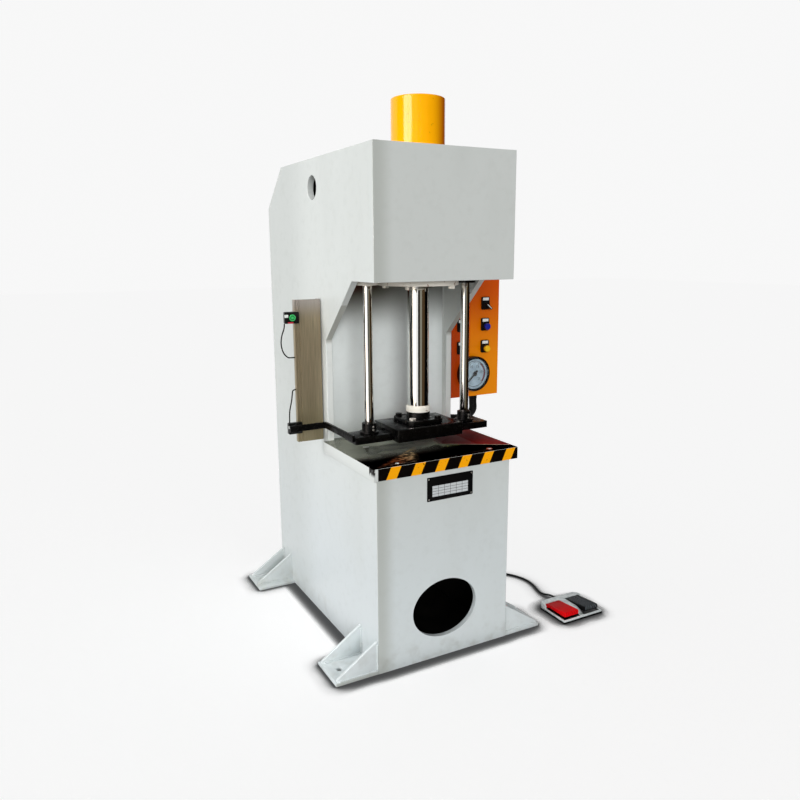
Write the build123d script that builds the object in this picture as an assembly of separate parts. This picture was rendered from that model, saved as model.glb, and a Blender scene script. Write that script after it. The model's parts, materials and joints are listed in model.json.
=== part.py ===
from build123d import *
import math
import os

# Hydraulic press with an open front, millimetres, +Z up, front towards -Y, right hand towards +X.
# The origin lies on the floor, midway between the four anchor holes.

# Welded frame
frame_width = 570
frame_depth = 1040
frame_height = 1870
side_plate_t = 25
web_t = 20
base_floor_t = 12
head_bottom_z = 1420
head_floor_t = 40
throat_depth = 420
throat_corner_drop = 230
throat_top_depth = 175
throat_recess = 25
slope_run = 180
slope_drop = 159
lift_hole_depth = 522
lift_hole_drop = 108
lift_hole_r = 45
hand_hole_z = 196
hand_hole_rx = 140
hand_hole_rz = 115

# Work table
table_top_z = 790
table_t = 45
table_overhang = 22
table_hole_r = 7
table_hole_deep = 30
table_hole_inset = 62
table_hole_depths = (10, 261)

# Anchored feet
foot_reach = 170
foot_depth = 170
foot_t = 12
gusset_t = 12
gusset_top_z = 130
gusset_toe = 10
gusset_margin = 8
front_gusset_insets = (6, 146)
rear_gusset_insets = (24, 118)
anchor_hole_r = 11
anchor_hole_reach = 120
anchor_inset = 85

# Louvred cover over the open rear of the base
back_plate_drop = 25
rear_cover_t = 3
rear_cover_lap = 15
rear_cover_low_z = 25
louvre_count = 6
louvre_w = 260
louvre_h = 14
louvre_pitch = 34
louvre_out = 9
louvre_low_z = 430

# Cylinder, on the ram axis
ram_depth = 205
barrel_r = 97
barrel_wall = 14
barrel_end_gap = 5
barrel_cap_t = 30
flange_rim = 53
flange_t = 20
flange_bolt_offset = 90
flange_bush_gap = 4
gland_h = 95
gland_nose_h = 10
gland_nose_wall = 18
gland_relief = 6
barrel_hole_gap = 1
bolt_r = 8
bolt_head_af = 24
bolt_head_h = 10
bolt_grip = 50
washer_t = 3
washer_r = 15
port_r = 8
port_boss_r = 15
port_boss_out = 18
upper_port_drop = 45

# Ram
ram_up_stroke = 420
ram_down_stroke = 40
rod_r = 40
spigot_step = 10
piston_h = 55
piston_step_h = 20
piston_step_in = 6
running_gap = 0.1
piston_end_gap = 5
seal_groove_w = 10
seal_groove_in = 5
rod_ring_wall = 6
rod_ring_h = 24
neck_wall = 5
neck_h = 24
ram_flange_half = 74
ram_flange_t = 17
ram_bolt_offset = 55
ram_bolt_r = 8
ram_bolt_af = 24
ram_bolt_head_h = 10
ram_bolt_grip = 20

# Platen, crossbar and guide rods
platen_rod_gap = 70
platen_d = 200
platen_t = 48
platen_gap = 43
crossbar_over = 3
crossbar_d = 100
crossbar_t = 26
guide_rod_r = 12.5
guide_rod_inset = 50
guide_rod_over = 25
collar_r = 27
collar_h = 40
collar_foot_r = 36
collar_foot_h = 9
bush_r = 25
bush_flange_r = 38
bush_flange_t = 16
bush_length = 90
rod_clearance = 5.5

# Trigger arm and limit sensors on the left side
arm_t = 10
arm_h = 24
arm_rise = 10
arm_start_depth = 165
arm_cross_depth = 423
arm_reach = 157
arm_bend_r = 10
striker_r = 17
striker_t = 5
striker_reach = 125
rail_depth = 460
rail_reach = 110
rail_low_z = 790
rail_high_z = 1345
rail_wall = 4
rail_leg = 38
rail_stand_off = 4
sensor_wire_r = 2.5
sensor_w = 56
sensor_h = 44
sensor_t = 18
sensor_face_r = 14
sensor_face_out = 2
upper_sensor_z = 1279
lower_sensor_z = 851

# Control box on the right side
box_w = 240
box_depth = 180
box_low_z = 905
box_high_z = 1505
box_wall = 3
panel_t = 3
legend_w = 40
legend_h = 54
legend_t = 7
button_r = 12.5
button_lip = 1.5
button_out = 12
button_travel = 5
collar_ring_wall = 4.5
collar_step = 3
collar_ring_t = 5
right_column_reach = 167
left_column_reach = 46
row_top_z = 1304
row_mid_z = 1214
row_low_z = 1119
button_drop = 9
knob_r = 15
knob_out = 12
knob_lever_len = 24
knob_lever_w = 9
gauge_reach = 103
gauge_z = 1006
gauge_r = 75
gauge_deep = 34
gauge_rim = 9
gauge_back_step = 13
gauge_back_len = 30
gauge_dial_t = 2
gauge_dial_back = 13
gauge_glass_t = 3
needle_gap = 2.5
needle_t = 1.5
needle_hub_r = 6
needle_len = 50
needle_tail = 16
needle_low_angle = 225

# Conduit between the control box and the side plate
conduit_r = 14.5
conduit_nut_wall = 5.5
conduit_nut_h = 14
conduit_reach = 155
conduit_box_inset = 62
conduit_wall_inset = 150
conduit_wall_z = 790

# Blank name plate
name_plate_w = 198
name_plate_h = 91
name_plate_t = 1.5
name_plate_x = 18
name_plate_drop = 71

# Foot switch
pedal_box_reach = 372
pedal_box_depth = 37
pedal_box_w = 204
pedal_box_d = 166
pedal_base_t = 7
pedal_base_lip = 2
pedal_corner = 16
pedal_wall = 9
pedal_divider = 26
pedal_deck = 28
pedal_lip_z = 14
pedal_deck_z = 30
pedal_floor_t = 3
pedal_slope_run = 12
pedal_divider_run = 48
pedal_gap = 3
pedal_rear_drop = 2
pedal_front_z = 39
pedal_front_t = 17
pedal_rib_count = 7
pedal_rib_h = 1.5
pedal_pin_r = 3
pedal_pin_z = 19
pedal_pin_inset = 9

# Foot switch cord, laid on the floor
cord_r = 4
cord_lift = 0.2
cord_exit_shift = 2
relief_len = 20
relief_z = 18
gland_out = 26
gland_r = 9
cord_gland_depth = 690
cord_gland_z = 60
coil_reach = 215
coil_depth = 655
coil_mid_r = 44
coil_stub = 60
coil_slack = 0.4

# Oil tank with the motor, pump and valve block inside the base
tank_side_gap = 45
tank_front_depth = 520
tank_rear_gap = 60
tank_low_z = 60
tank_high_z = 400
tank_lid_t = 8
tank_foot_w = 40
filler_x = 150
filler_r = 24
motor_r = 88
motor_length = 250
motor_axis_rise = 100
motor_rear_gap = 90
motor_x = -70
terminal_box_w = 70
terminal_box_l = 80
terminal_box_h = 28
fin_count = 12
fin_out = 8
fin_t = 5
bell_r = 70
bell_length = 60
bell_wall = 6
shaft_r = 14
shaft_seat = 90
shaft_end_gap = 10
coupling_r = 30
coupling_length = 40
pump_r = 45
pump_length = 90
valve_x = 115
valve_depth = 620
valve_w = 90
valve_h = 110
coil_box = 42
pipe_r = 9
pipe_rise = 48
pipe_step = 25
pipe_bend_r = 55
lower_pipe_drop = 90
upper_pipe_low = 360
upper_pipe_high = 120

# Places that follow from the sizes above
front_y = -frame_depth / 2
back_y = frame_depth / 2
outer_x = frame_width / 2
inner_x = outer_x - side_plate_t
slope_y = back_y - slope_run
slope_end_z = frame_height - slope_drop
lift_hole_z = frame_height - lift_hole_drop
throat_y = front_y + throat_depth
throat_face_y = throat_y + throat_recess
throat_corner_z = head_bottom_z - throat_corner_drop
table_low_z = table_top_z - table_t
table_hole_x = inner_x - table_hole_inset
back_plate_low_z = table_low_z - back_plate_drop
ram_y = front_y + ram_depth
guide_rod_x = inner_x - guide_rod_inset
guide_rod_top_z = head_bottom_z + bush_length + guide_rod_over
rod_clear_r = guide_rod_r + rod_clearance
flange_r = barrel_r + flange_rim
flange_low_z = head_bottom_z - flange_t
gland_top_z = flange_low_z + gland_h
bolt_seat_z = flange_low_z - washer_t
piston_bottom_z = gland_top_z + ram_down_stroke + piston_end_gap
barrel_end_z = piston_bottom_z + piston_h + ram_up_stroke + barrel_end_gap
barrel_top_z = barrel_end_z + barrel_cap_t
platen_half_w = guide_rod_x - platen_rod_gap
platen_bottom_z = table_top_z + platen_gap
platen_top_z = platen_bottom_z + platen_t
crossbar_half = outer_x + crossbar_over
arm_low_z = platen_bottom_z + arm_rise
arm_tip_x = -(outer_x + arm_reach)
striker_x = -(outer_x + striker_reach)
rail_out_x = -(outer_x + rail_reach)
crossbar_top_z = platen_bottom_z + crossbar_t
flange_top_z = platen_top_z + ram_flange_t
neck_top_z = flange_top_z + neck_h
ring_top_z = neck_top_z + rod_ring_h
bore_r = barrel_r - barrel_wall
upper_port_z = barrel_top_z - upper_port_drop
lower_port_z = gland_top_z - port_boss_r
port_end_y = ram_y + barrel_r + port_boss_out
upper_pipe_y = port_end_y + pipe_bend_r
right_column_x = outer_x + right_column_reach
left_column_x = outer_x + left_column_reach
gauge_x = outer_x + gauge_reach
gauge_face_r = gauge_r - gauge_rim
conduit_x = outer_x + conduit_reach
conduit_nut_r = conduit_r + conduit_nut_wall
collar_ring_r = button_r + collar_ring_wall
panel_y = throat_y
panel_face_y = panel_y - panel_t
collar_rim_y = panel_face_y - legend_t - collar_ring_t
rail_y = front_y + rail_depth
conduit_y = panel_y + conduit_box_inset
conduit_wall_y = panel_y + conduit_wall_inset
name_plate_z = table_low_z - name_plate_drop
pedal_box_x = outer_x + pedal_box_reach
pedal_y = front_y + pedal_box_depth
pedal_rear_y = pedal_y + pedal_box_d / 2
pedal_front_y = pedal_y - pedal_box_d / 2
pedal_deck_y = pedal_rear_y - pedal_deck
pedal_pin_y = pedal_deck_y - pedal_pin_inset
pedal_floor_z = pedal_base_t + pedal_floor_t
cord_exit_x = pedal_box_x - cord_exit_shift
coil_x = outer_x + coil_reach
cord_z = cord_r + cord_lift
tank_half_w = inner_x - tank_side_gap
tank_front_y = front_y + tank_front_depth
tank_back_y = back_y - tank_rear_gap
lid_top_z = tank_high_z + tank_lid_t
motor_axis_z = lid_top_z + motor_axis_rise
motor_y = back_y - motor_rear_gap - motor_length
valve_y = front_y + valve_depth
valve_top_z = lid_top_z + valve_h
gland_nose_x = outer_x + gland_out
coil_y = front_y + coil_depth


def block(x0, x1, y0, y1, z0, z1):
    """Box between two corners."""
    centre = ((x0 + x1) / 2, (y0 + y1) / 2, (z0 + z1) / 2)
    return Pos(*centre) * Box(x1 - x0, y1 - y0, z1 - z0)


def rod_z(x, y, z0, z1, radius):
    """Upright cylinder between two heights."""
    return Pos(x, y, (z0 + z1) / 2) * Cylinder(radius, z1 - z0)


def rod_y(x, z, y0, y1, radius):
    """Cylinder along Y between two depths."""
    return Pos(x, (y0 + y1) / 2, z) * Rot(90, 0, 0) * Cylinder(radius, y1 - y0)


def rod_x(y, z, x0, x1, radius):
    """Cylinder along X between two places."""
    return Pos((x0 + x1) / 2, y, z) * Rot(0, 90, 0) * Cylinder(radius, x1 - x0)


def slab_x(points, x0, x1):
    """Plate of an outline given in Y and Z, between two X places."""
    face = Plane.YZ.offset(x0) * make_face(Polyline(*points, close=True))
    return extrude(face, amount=x1 - x0)


def slab_z(points, z0, z1):
    """Plate of an outline given in X and Y, between two heights."""
    face = Pos(0, 0, z0) * make_face(Polyline(*points, close=True))
    return extrude(face, amount=z1 - z0)


def slab_y(points, y0, y1):
    """Plate of an outline given in X and Z, between two depths."""
    face = Plane.XZ.offset(-y0) * make_face(Polyline(*points, close=True))
    return extrude(face, amount=-(y1 - y0))


def hex_bolt(x, y, z, radius, across, head_h, grip, up):
    """Hexagon bolt whose head sits on height z; up is 1 for a head above it, -1 below."""
    head = RegularPolygon(across / 2, 6, major_radius=False)
    head = extrude(Pos(x, y, z) * head, amount=up * head_h)
    shank = rod_z(x, y, min(z, z - up * grip), max(z, z - up * grip), radius)
    return head + shank


def write(name, shape):
    """One file for one named piece."""
    os.makedirs("parts", exist_ok=True)
    export_step(shape, f"parts/{name}.step")


# Side plates, one C-shaped plate on each side
def side_outline():
    return [
        (front_y, 0),
        (front_y, table_low_z),
        (throat_y, table_low_z),
        (throat_y, throat_corner_z),
        (front_y + throat_top_depth, head_bottom_z),
        (front_y, head_bottom_z),
        (front_y, frame_height),
        (slope_y, frame_height),
        (back_y, slope_end_z),
        (back_y, 0),
    ]


def side_plate(side):
    low, high = sorted((side * inner_x, side * outer_x))
    plate = slab_x(side_outline(), low, high)
    plate -= rod_x(front_y + lift_hole_depth, lift_hole_z, low - 1, high + 1, lift_hole_r)
    if side > 0:
        plate -= rod_x(front_y + cord_gland_depth, cord_gland_z, low - 1, high + 1, gland_r)
        plate -= rod_x(conduit_wall_y, conduit_wall_z, low - 1, high + 1, conduit_r)
    return plate


# Cross plates welded between the side plates
def head_front_plate():
    return block(-inner_x, inner_x, front_y, front_y + web_t, head_bottom_z, frame_height - web_t)


def head_top_plate():
    plate = block(-inner_x, inner_x, front_y, slope_y, frame_height - web_t, frame_height)
    plate -= rod_z(0, ram_y, frame_height - web_t - 1, frame_height + 1, barrel_r + barrel_hole_gap)
    for side in (-1, 1):
        plate -= rod_z(side * guide_rod_x, ram_y, frame_height - web_t - 1, frame_height + 1, rod_clear_r)
    return plate - rod_z(0, upper_pipe_y, frame_height - web_t - 1, frame_height + 1, 2 * pipe_r)


def head_floor_plate():
    top_z = head_bottom_z + head_floor_t
    plate = block(-inner_x, inner_x, front_y + web_t, throat_face_y, head_bottom_z, top_z)
    plate -= rod_z(0, ram_y, head_bottom_z - 1, top_z + 1, barrel_r + barrel_hole_gap)
    for side in (-1, 1):
        plate -= rod_z(side * guide_rod_x, ram_y, head_bottom_z - 1, top_z + 1, bush_r)
    for x, y in flange_bolt_places():
        plate -= rod_z(x, y, head_bottom_z - 1, bolt_seat_z + bolt_grip, bolt_r)
    return plate


def throat_plate():
    top_z = head_bottom_z + head_floor_t
    return block(-inner_x, inner_x, throat_face_y, throat_face_y + web_t, table_low_z, top_z)


def base_front_plate():
    plate = block(-inner_x, inner_x, front_y, front_y + web_t, 0, table_low_z)
    hole = Plane.XZ.offset(-front_y + 1) * Pos(0, hand_hole_z) * Ellipse(hand_hole_rx, hand_hole_rz)
    return plate - extrude(hole, amount=-(web_t + 2))


def base_floor_plate():
    """Plate between the side plates on the floor, which carries the oil tank."""
    return block(-inner_x, inner_x, front_y + web_t, back_y, 0, base_floor_t)


def back_plate():
    """Upright plate whose top follows the slope of the side plates."""
    length = math.hypot(slope_run, slope_drop)
    drop = web_t * length / slope_run
    bend_drop = web_t * (length - slope_drop) / slope_run
    top_z = frame_height - web_t
    outline = [
        (back_y, back_plate_low_z),
        (back_y, slope_end_z),
        (back_y - slope_run * (top_z - slope_end_z) / slope_drop, top_z),
        (back_y - slope_run * (top_z + drop - slope_end_z) / slope_drop, top_z),
        (back_y - web_t, slope_end_z - bend_drop),
        (back_y - web_t, back_plate_low_z),
    ]
    return slab_x(outline, -inner_x, inner_x)


def rear_cover():
    half = inner_x + rear_cover_lap
    outer = back_y + rear_cover_t
    cover = block(-half, half, back_y, outer, rear_cover_low_z, back_plate_low_z + rear_cover_lap)
    t = rear_cover_t
    for i in range(louvre_count):
        z = louvre_low_z + i * louvre_pitch
        hood = [(outer, z + louvre_h), (outer + louvre_out, z), (outer, z)]
        slot = [
            (back_y - 1, z + louvre_h - t),
            (outer, z + louvre_h - t),
            (outer + louvre_out - t, z - 1),
            (back_y - 1, z - 1),
        ]
        cover += slab_x(hood, -louvre_w / 2, louvre_w / 2)
        cover -= slab_x(slot, -louvre_w / 2 + t, louvre_w / 2 - t)
    return cover


# Work table with a tongue that reaches the throat plate
def work_table():
    half = outer_x + table_overhang
    table = block(-half, half, front_y - table_overhang, throat_y, table_low_z, table_top_z)
    table += block(-inner_x, inner_x, throat_y - 1, throat_face_y, table_low_z, table_top_z)
    for side in (-1, 1):
        for depth in table_hole_depths:
            x = side * table_hole_x
            table -= rod_z(x, front_y + depth, table_top_z - table_hole_deep, table_top_z + 1, table_hole_r)
    return table


# Feet, each a floor plate with two gussets
def foot(side, rear):
    if rear:
        y0, y1 = back_y - foot_depth, back_y
        gussets = [back_y - inset - gusset_t for inset in rear_gusset_insets]
        hole_y = back_y - anchor_inset
    else:
        y0, y1 = front_y, front_y + foot_depth
        gussets = [front_y + inset for inset in front_gusset_insets]
        hole_y = front_y + anchor_inset
    x0, x1 = sorted((side * outer_x, side * (outer_x + foot_reach)))
    piece = block(x0, x1, y0, y1, 0, foot_t)
    toe_x = outer_x + foot_reach - gusset_margin
    outline = [
        (side * outer_x, foot_t),
        (side * toe_x, foot_t),
        (side * toe_x, foot_t + gusset_toe),
        (side * outer_x, gusset_top_z),
    ]
    for y in gussets:
        piece += slab_y(outline, y, y + gusset_t)
    hole_x = side * (outer_x + anchor_hole_reach)
    return piece - rod_z(hole_x, hole_y, -1, foot_t + 1, anchor_hole_r)


# Hydraulic cylinder
def flange_bolt_places():
    places = []
    for sx in (-1, 1):
        for sy in (-1, 1):
            places.append((sx * flange_bolt_offset, ram_y + sy * flange_bolt_offset))
    return places


def port_boss(z):
    """Boss that stands out from the rear of the barrel."""
    return rod_y(0, z, ram_y + bore_r, ram_y + barrel_r + port_boss_out, port_boss_r)


def cylinder_barrel():
    """Barrel with its welded cap, two oil ports and a flange that keeps clear of the bush flanges."""
    barrel = rod_z(0, ram_y, flange_low_z, barrel_top_z, barrel_r)
    barrel = chamfer(barrel.edges().group_by(Axis.Z)[-1], 3)
    flange = rod_z(0, ram_y, flange_low_z, head_bottom_z, flange_r)
    for side in (-1, 1):
        room_r = bush_flange_r + flange_bush_gap
        flange -= rod_z(side * guide_rod_x, ram_y, flange_low_z - 1, head_bottom_z, room_r)
    barrel += flange
    for z in (lower_port_z, upper_port_z):
        barrel += port_boss(z)
    barrel -= rod_z(0, ram_y, flange_low_z - 1, barrel_end_z, bore_r)
    for z in (lower_port_z, upper_port_z):
        barrel -= rod_y(0, z, ram_y, port_end_y + 1, port_r)
    for x, y in flange_bolt_places():
        barrel -= rod_z(x, y, flange_low_z - 1, head_bottom_z + 1, bolt_r)
    return barrel


def cylinder_gland():
    """Guide of the rod, cut back at its top so that oil gets in from the port."""
    relief_z = lower_port_z - port_r - 2
    gland = rod_z(0, ram_y, flange_low_z, relief_z, bore_r)
    gland += rod_z(0, ram_y, relief_z, gland_top_z, bore_r - gland_relief)
    nose_z = flange_low_z - gland_nose_h
    gland += rod_z(0, ram_y, nose_z, flange_low_z, rod_r + gland_nose_wall)
    return gland - rod_z(0, ram_y, nose_z - 1, gland_top_z + 1, rod_r + running_gap)


def cylinder_bolts():
    """Four hexagon bolts with washers under the flange."""
    bolts = []
    for x, y in flange_bolt_places():
        bolt = hex_bolt(x, y, bolt_seat_z, bolt_r, bolt_head_af, bolt_head_h, bolt_grip, -1)
        bolts.append(bolt + rod_z(x, y, bolt_seat_z, flange_low_z, washer_r))
    return Compound(children=bolts)


def guide_bushes():
    bushes = []
    low_z = head_bottom_z - bush_flange_t
    for side in (-1, 1):
        x = side * guide_rod_x
        bush = rod_z(x, ram_y, head_bottom_z, head_bottom_z + bush_length, bush_r)
        bush += rod_z(x, ram_y, low_z, head_bottom_z, bush_flange_r)
        bush -= rod_z(x, ram_y, low_z - 1, head_bottom_z + bush_length + 1, guide_rod_r + running_gap)
        bushes.append(bush)
    return Compound(children=bushes)


# Ram: piston, rod, ring, flange, platen, crossbar and guide rods move together
def piston():
    """Piston with a seal groove and a step at its top that lets oil in from the port."""
    step_z = piston_bottom_z + piston_h - piston_step_h
    body = rod_z(0, ram_y, piston_bottom_z, step_z, bore_r - running_gap)
    body += rod_z(0, ram_y, step_z, step_z + piston_step_h, bore_r - piston_step_in)
    groove_low_z = (piston_bottom_z + step_z - seal_groove_w) / 2
    groove_top_z = groove_low_z + seal_groove_w
    groove = rod_z(0, ram_y, groove_low_z, groove_top_z, bore_r + 1)
    groove -= rod_z(0, ram_y, groove_low_z - 1, groove_top_z + 1, bore_r - seal_groove_in)
    return body - groove - rod_z(0, ram_y, piston_bottom_z - 1, step_z, rod_r - spigot_step)


def piston_rod():
    rod = rod_z(0, ram_y, platen_top_z, piston_bottom_z, rod_r)
    spigot_top_z = piston_bottom_z + piston_h - piston_step_h
    return rod + rod_z(0, ram_y, piston_bottom_z, spigot_top_z, rod_r - spigot_step)


def rod_ring():
    ring = rod_z(0, ram_y, neck_top_z, ring_top_z, rod_r + rod_ring_wall)
    ring = chamfer(ring.edges().group_by(Axis.Z)[-1], 4)
    return ring - rod_z(0, ram_y, neck_top_z - 1, ring_top_z + 1, rod_r)


def ram_bolt_places():
    places = []
    for sx in (-1, 1):
        for sy in (-1, 1):
            places.append((sx * ram_bolt_offset, ram_y + sy * ram_bolt_offset))
    return places


def ram_flange():
    half = ram_flange_half
    flange = block(-half, half, ram_y - half, ram_y + half, platen_top_z, flange_top_z)
    flange = chamfer(flange.edges().filter_by(Axis.Z), 14)
    flange += rod_z(0, ram_y, flange_top_z, neck_top_z, rod_r + neck_wall)
    flange -= rod_z(0, ram_y, platen_top_z - 1, neck_top_z + 1, rod_r)
    for x, y in ram_bolt_places():
        flange -= rod_z(x, y, platen_top_z - 1, flange_top_z + 1, ram_bolt_r)
    return flange


def ram_bolts():
    bolts = []
    for x, y in ram_bolt_places():
        grip = ram_flange_t + ram_bolt_grip
        bolts.append(hex_bolt(x, y, flange_top_z, ram_bolt_r, ram_bolt_af, ram_bolt_head_h, grip, 1))
    return Compound(children=bolts)


def platen():
    half_w, half_d = platen_half_w, platen_d / 2
    body = block(-half_w, half_w, ram_y - half_d, ram_y + half_d, platen_bottom_z, platen_top_z)
    body = chamfer(body.edges(), 2)
    half = crossbar_d / 2
    body -= block(-half_w - 1, half_w + 1, ram_y - half, ram_y + half, platen_bottom_z - 1, crossbar_top_z)
    for x, y in ram_bolt_places():
        body -= rod_z(x, y, platen_top_z - ram_bolt_grip, platen_top_z + 1, ram_bolt_r)
    return body


def crossbar():
    half = crossbar_d / 2
    bar = block(-crossbar_half, crossbar_half, ram_y - half, ram_y + half, platen_bottom_z, crossbar_top_z)
    for side in (-1, 1):
        bar -= rod_z(side * guide_rod_x, ram_y, platen_bottom_z - 1, crossbar_top_z + 1, guide_rod_r)
    return bar


def guide_rods():
    rods = []
    for side in (-1, 1):
        rod = rod_z(side * guide_rod_x, ram_y, platen_bottom_z, guide_rod_top_z, guide_rod_r)
        rods.append(chamfer(rod.edges().group_by(Axis.Z)[-1], 2))
    return Compound(children=rods)


def rod_collars():
    collars = []
    for side in (-1, 1):
        x = side * guide_rod_x
        collar = rod_z(x, ram_y, crossbar_top_z, crossbar_top_z + collar_h, collar_r)
        collar += rod_z(x, ram_y, crossbar_top_z, crossbar_top_z + collar_foot_h, collar_foot_r)
        collar += block(x - 9, x + 9, ram_y - collar_r - 6, ram_y, crossbar_top_z + 14, crossbar_top_z + 34)
        collar -= rod_z(x, ram_y, crossbar_top_z - 1, crossbar_top_z + collar_h + 1, guide_rod_r)
        collars.append(collar)
    return Compound(children=collars)


# Trigger arm: a flat bar bent outwards, with a round striker that faces the sensors
def trigger_arm():
    y0 = front_y + arm_start_depth
    y1 = front_y + arm_cross_depth
    inner = -crossbar_half
    outer = inner - arm_t
    half = arm_t / 2
    outline = [
        (inner, y0),
        (inner, y1 + half),
        (arm_tip_x, y1 + half),
        (arm_tip_x, y1 - half),
        (outer, y1 - half),
        (outer, y0),
    ]
    arm = slab_z(outline, arm_low_z, arm_low_z + arm_h)
    bend = arm.edges().filter_by(Axis.Z).sort_by_distance((inner, y1 + half, arm_low_z))[:1]
    arm = fillet(bend, arm_bend_r)
    mid_z = arm_low_z + arm_h / 2
    return arm + rod_y(striker_x, mid_z, y1 + half, y1 + half + striker_t, striker_r)


# Aluminium rail with steps along its outer edge, and a leg that bolts to the side plate
def sensor_rail():
    y = rail_y
    t = rail_wall
    side = -outer_x - rail_stand_off
    out = rail_out_x
    outline = [
        (side, y),
        (side, y + rail_leg),
        (side - t, y + rail_leg),
        (side - t, y + t),
        (out + 27, y + t),
        (out + 27, y + t + 4),
        (out + 3, y + t + 4),
        (out + 3, y + 20),
        (out, y + 20),
        (out, y),
        (out + 5, y),
        (out + 6, y + 3),
        (out + 10, y + 3),
        (out + 11, y),
        (out + 16, y),
        (out + 17, y + 3),
        (out + 21, y + 3),
        (out + 22, y),
    ]
    rail = slab_z(outline, rail_low_z, rail_high_z)
    for z in (rail_low_z + 60, rail_high_z - 60):
        rail += rod_x(y + rail_leg - 10, z, -outer_x - rail_stand_off, -outer_x, 7)
    return rail


def limit_sensors():
    sensors = []
    for z in (upper_sensor_z, lower_sensor_z):
        x0 = rail_out_x - sensor_w + 12
        body = block(x0, x0 + sensor_w, rail_y - sensor_t, rail_y, z - sensor_h / 2, z + sensor_h / 2)
        body = fillet(body.edges().filter_by(Axis.Y), 4)
        face = rod_y(striker_x, z, rail_y - sensor_t - sensor_face_out, rail_y - sensor_t, sensor_face_r)
        sensors.append(body + face)
    return Compound(children=sensors)


def bent_tube(points, radii, radius):
    """Round tube along straight runs joined by tangent arcs."""
    path = FilletPolyline(*points, radius=radii)
    start = Plane(origin=points[0], z_dir=path % 0)
    return sweep(start * Circle(radius), path=path), path


def sensor_wire_routes():
    """Both wires start at the underside or the top of a sensor and end at the rail."""
    y = rail_y - sensor_t / 2
    rail_x = rail_out_x
    top_z = upper_sensor_z - sensor_h / 2
    low_z = lower_sensor_z + sensor_h / 2
    upper = [
        (rail_x - 44, y, top_z),
        (rail_x - 44, y, top_z - 16),
        (rail_x - 56, y, top_z - 42),
        (rail_x - 61, y, top_z - 76),
        (rail_x - 54, y, top_z - 108),
        (rail_x - 34, y + 6, top_z - 130),
        (rail_x - 16, y + 19, top_z - 133),
        (rail_x, y + 19, top_z - 133),
    ]
    lower = [
        (rail_x - 37, y, low_z),
        (rail_x - 37, y, low_z + 22),
        (rail_x - 35, y, low_z + 52),
        (rail_x - 25, y + 3, low_z + 84),
        (rail_x - 18, y + 13, low_z + 110),
        (rail_x - 13, y + 19, low_z + 126),
        (rail_x, y + 19, low_z + 126),
    ]
    return upper, lower


def arc_radii(points, most=math.inf):
    """Largest tangent arc at each corner: 0.45 of the shorter run over the tangent of half the turn."""
    radii = []
    for a, b, c in zip(points, points[1:], points[2:]):
        before, after = Vector(*b) - Vector(*a), Vector(*c) - Vector(*b)
        turn = math.radians(before.get_angle(after))
        radii.append(min(most, 0.45 * min(before.length, after.length) / math.tan(turn / 2)))
    return radii


def sensor_cables():
    wires = []
    for points in sensor_wire_routes():
        tube, path = bent_tube(points, arc_radii(points), sensor_wire_r)
        wires.append(tube)
    return Compound(children=wires)


# Control box with its orange front panel
def control_box():
    y0 = panel_y
    y1 = panel_y + box_depth
    x1 = outer_x + box_w
    shell = block(outer_x, x1, y0, y1, box_low_z, box_high_z)
    shell = fillet(shell.edges().filter_by(Axis.Y).group_by(Axis.X)[-1], 4)
    t = box_wall
    shell -= block(outer_x + t, x1 - t, y0 - 1, y1 - t, box_low_z + t, box_high_z - t)
    return shell - rod_z(conduit_x, conduit_y, box_low_z - 1, box_low_z + t + 1, conduit_r)


def control_places():
    """Centres of the selector and the four push buttons, in X and Z."""
    return {
        "selector": (right_column_x, row_top_z),
        "blue": (right_column_x, row_mid_z),
        "yellow": (right_column_x, row_low_z),
        "left_upper": (left_column_x, row_mid_z),
        "left_lower": (left_column_x, row_low_z),
    }


def control_panel():
    x1 = outer_x + box_w
    panel = block(outer_x, x1, panel_y - panel_t, panel_y, box_low_z, box_high_z)
    for x, z in control_places().values():
        panel -= rod_y(x, z - button_drop, panel_y - panel_t - 1, panel_y + 1, collar_ring_r - collar_step)
    return panel - rod_y(gauge_x, gauge_z, panel_y - panel_t - 1, panel_y + 1, gauge_r - gauge_back_step)


def button_holders():
    """Black legend plates, each with the round collar of its button."""
    holders = []
    face_y = panel_face_y
    for x, z in control_places().values():
        plate = block(
            x - legend_w / 2, x + legend_w / 2, face_y - legend_t, face_y, z - legend_h / 2, z + legend_h / 2
        )
        plate = fillet(plate.edges().filter_by(Axis.Y), 6)
        hole_z = z - button_drop
        plate += rod_y(x, hole_z, collar_rim_y, face_y, collar_ring_r)
        plate += rod_y(x, hole_z, face_y, panel_y + 24, collar_ring_r - collar_step)
        plate -= rod_y(x, hole_z, collar_rim_y - 1, panel_y + 20, button_r)
        holders.append(plate)
    return Compound(children=holders)


def push_button(x, z):
    """Stem in the collar and a wider cap that stands clear of it by its travel."""
    hole_z = z - button_drop
    cap_y = collar_rim_y - button_travel - 0.5
    stem = rod_y(x, hole_z, cap_y, panel_y + 10, button_r - running_gap)
    cap = rod_y(x, hole_z, cap_y - button_out, cap_y, button_r + button_lip)
    cap = chamfer(cap.edges().group_by(Axis.Y)[0], 3)
    return stem + cap


def selector_knob():
    x, z = control_places()["selector"]
    hole_z = z - button_drop
    rim_y = collar_rim_y
    stem = rod_y(x, hole_z, rim_y - 1, panel_y + 10, button_r - running_gap)
    disc = rod_y(x, hole_z, rim_y - 5, rim_y - 0.5, knob_r)
    half = knob_lever_w / 2
    grip = block(x - knob_lever_len, x + knob_r - 3, rim_y - 5 - knob_out, rim_y - 4, hole_z - half, hole_z + half)
    grip = fillet(grip.edges().filter_by(Axis.Y), 3)
    turned = Pos(x, 0, hole_z) * Rot(0, -140, 0) * Pos(-x, 0, -hole_z) * grip
    return stem + disc + turned


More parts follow.
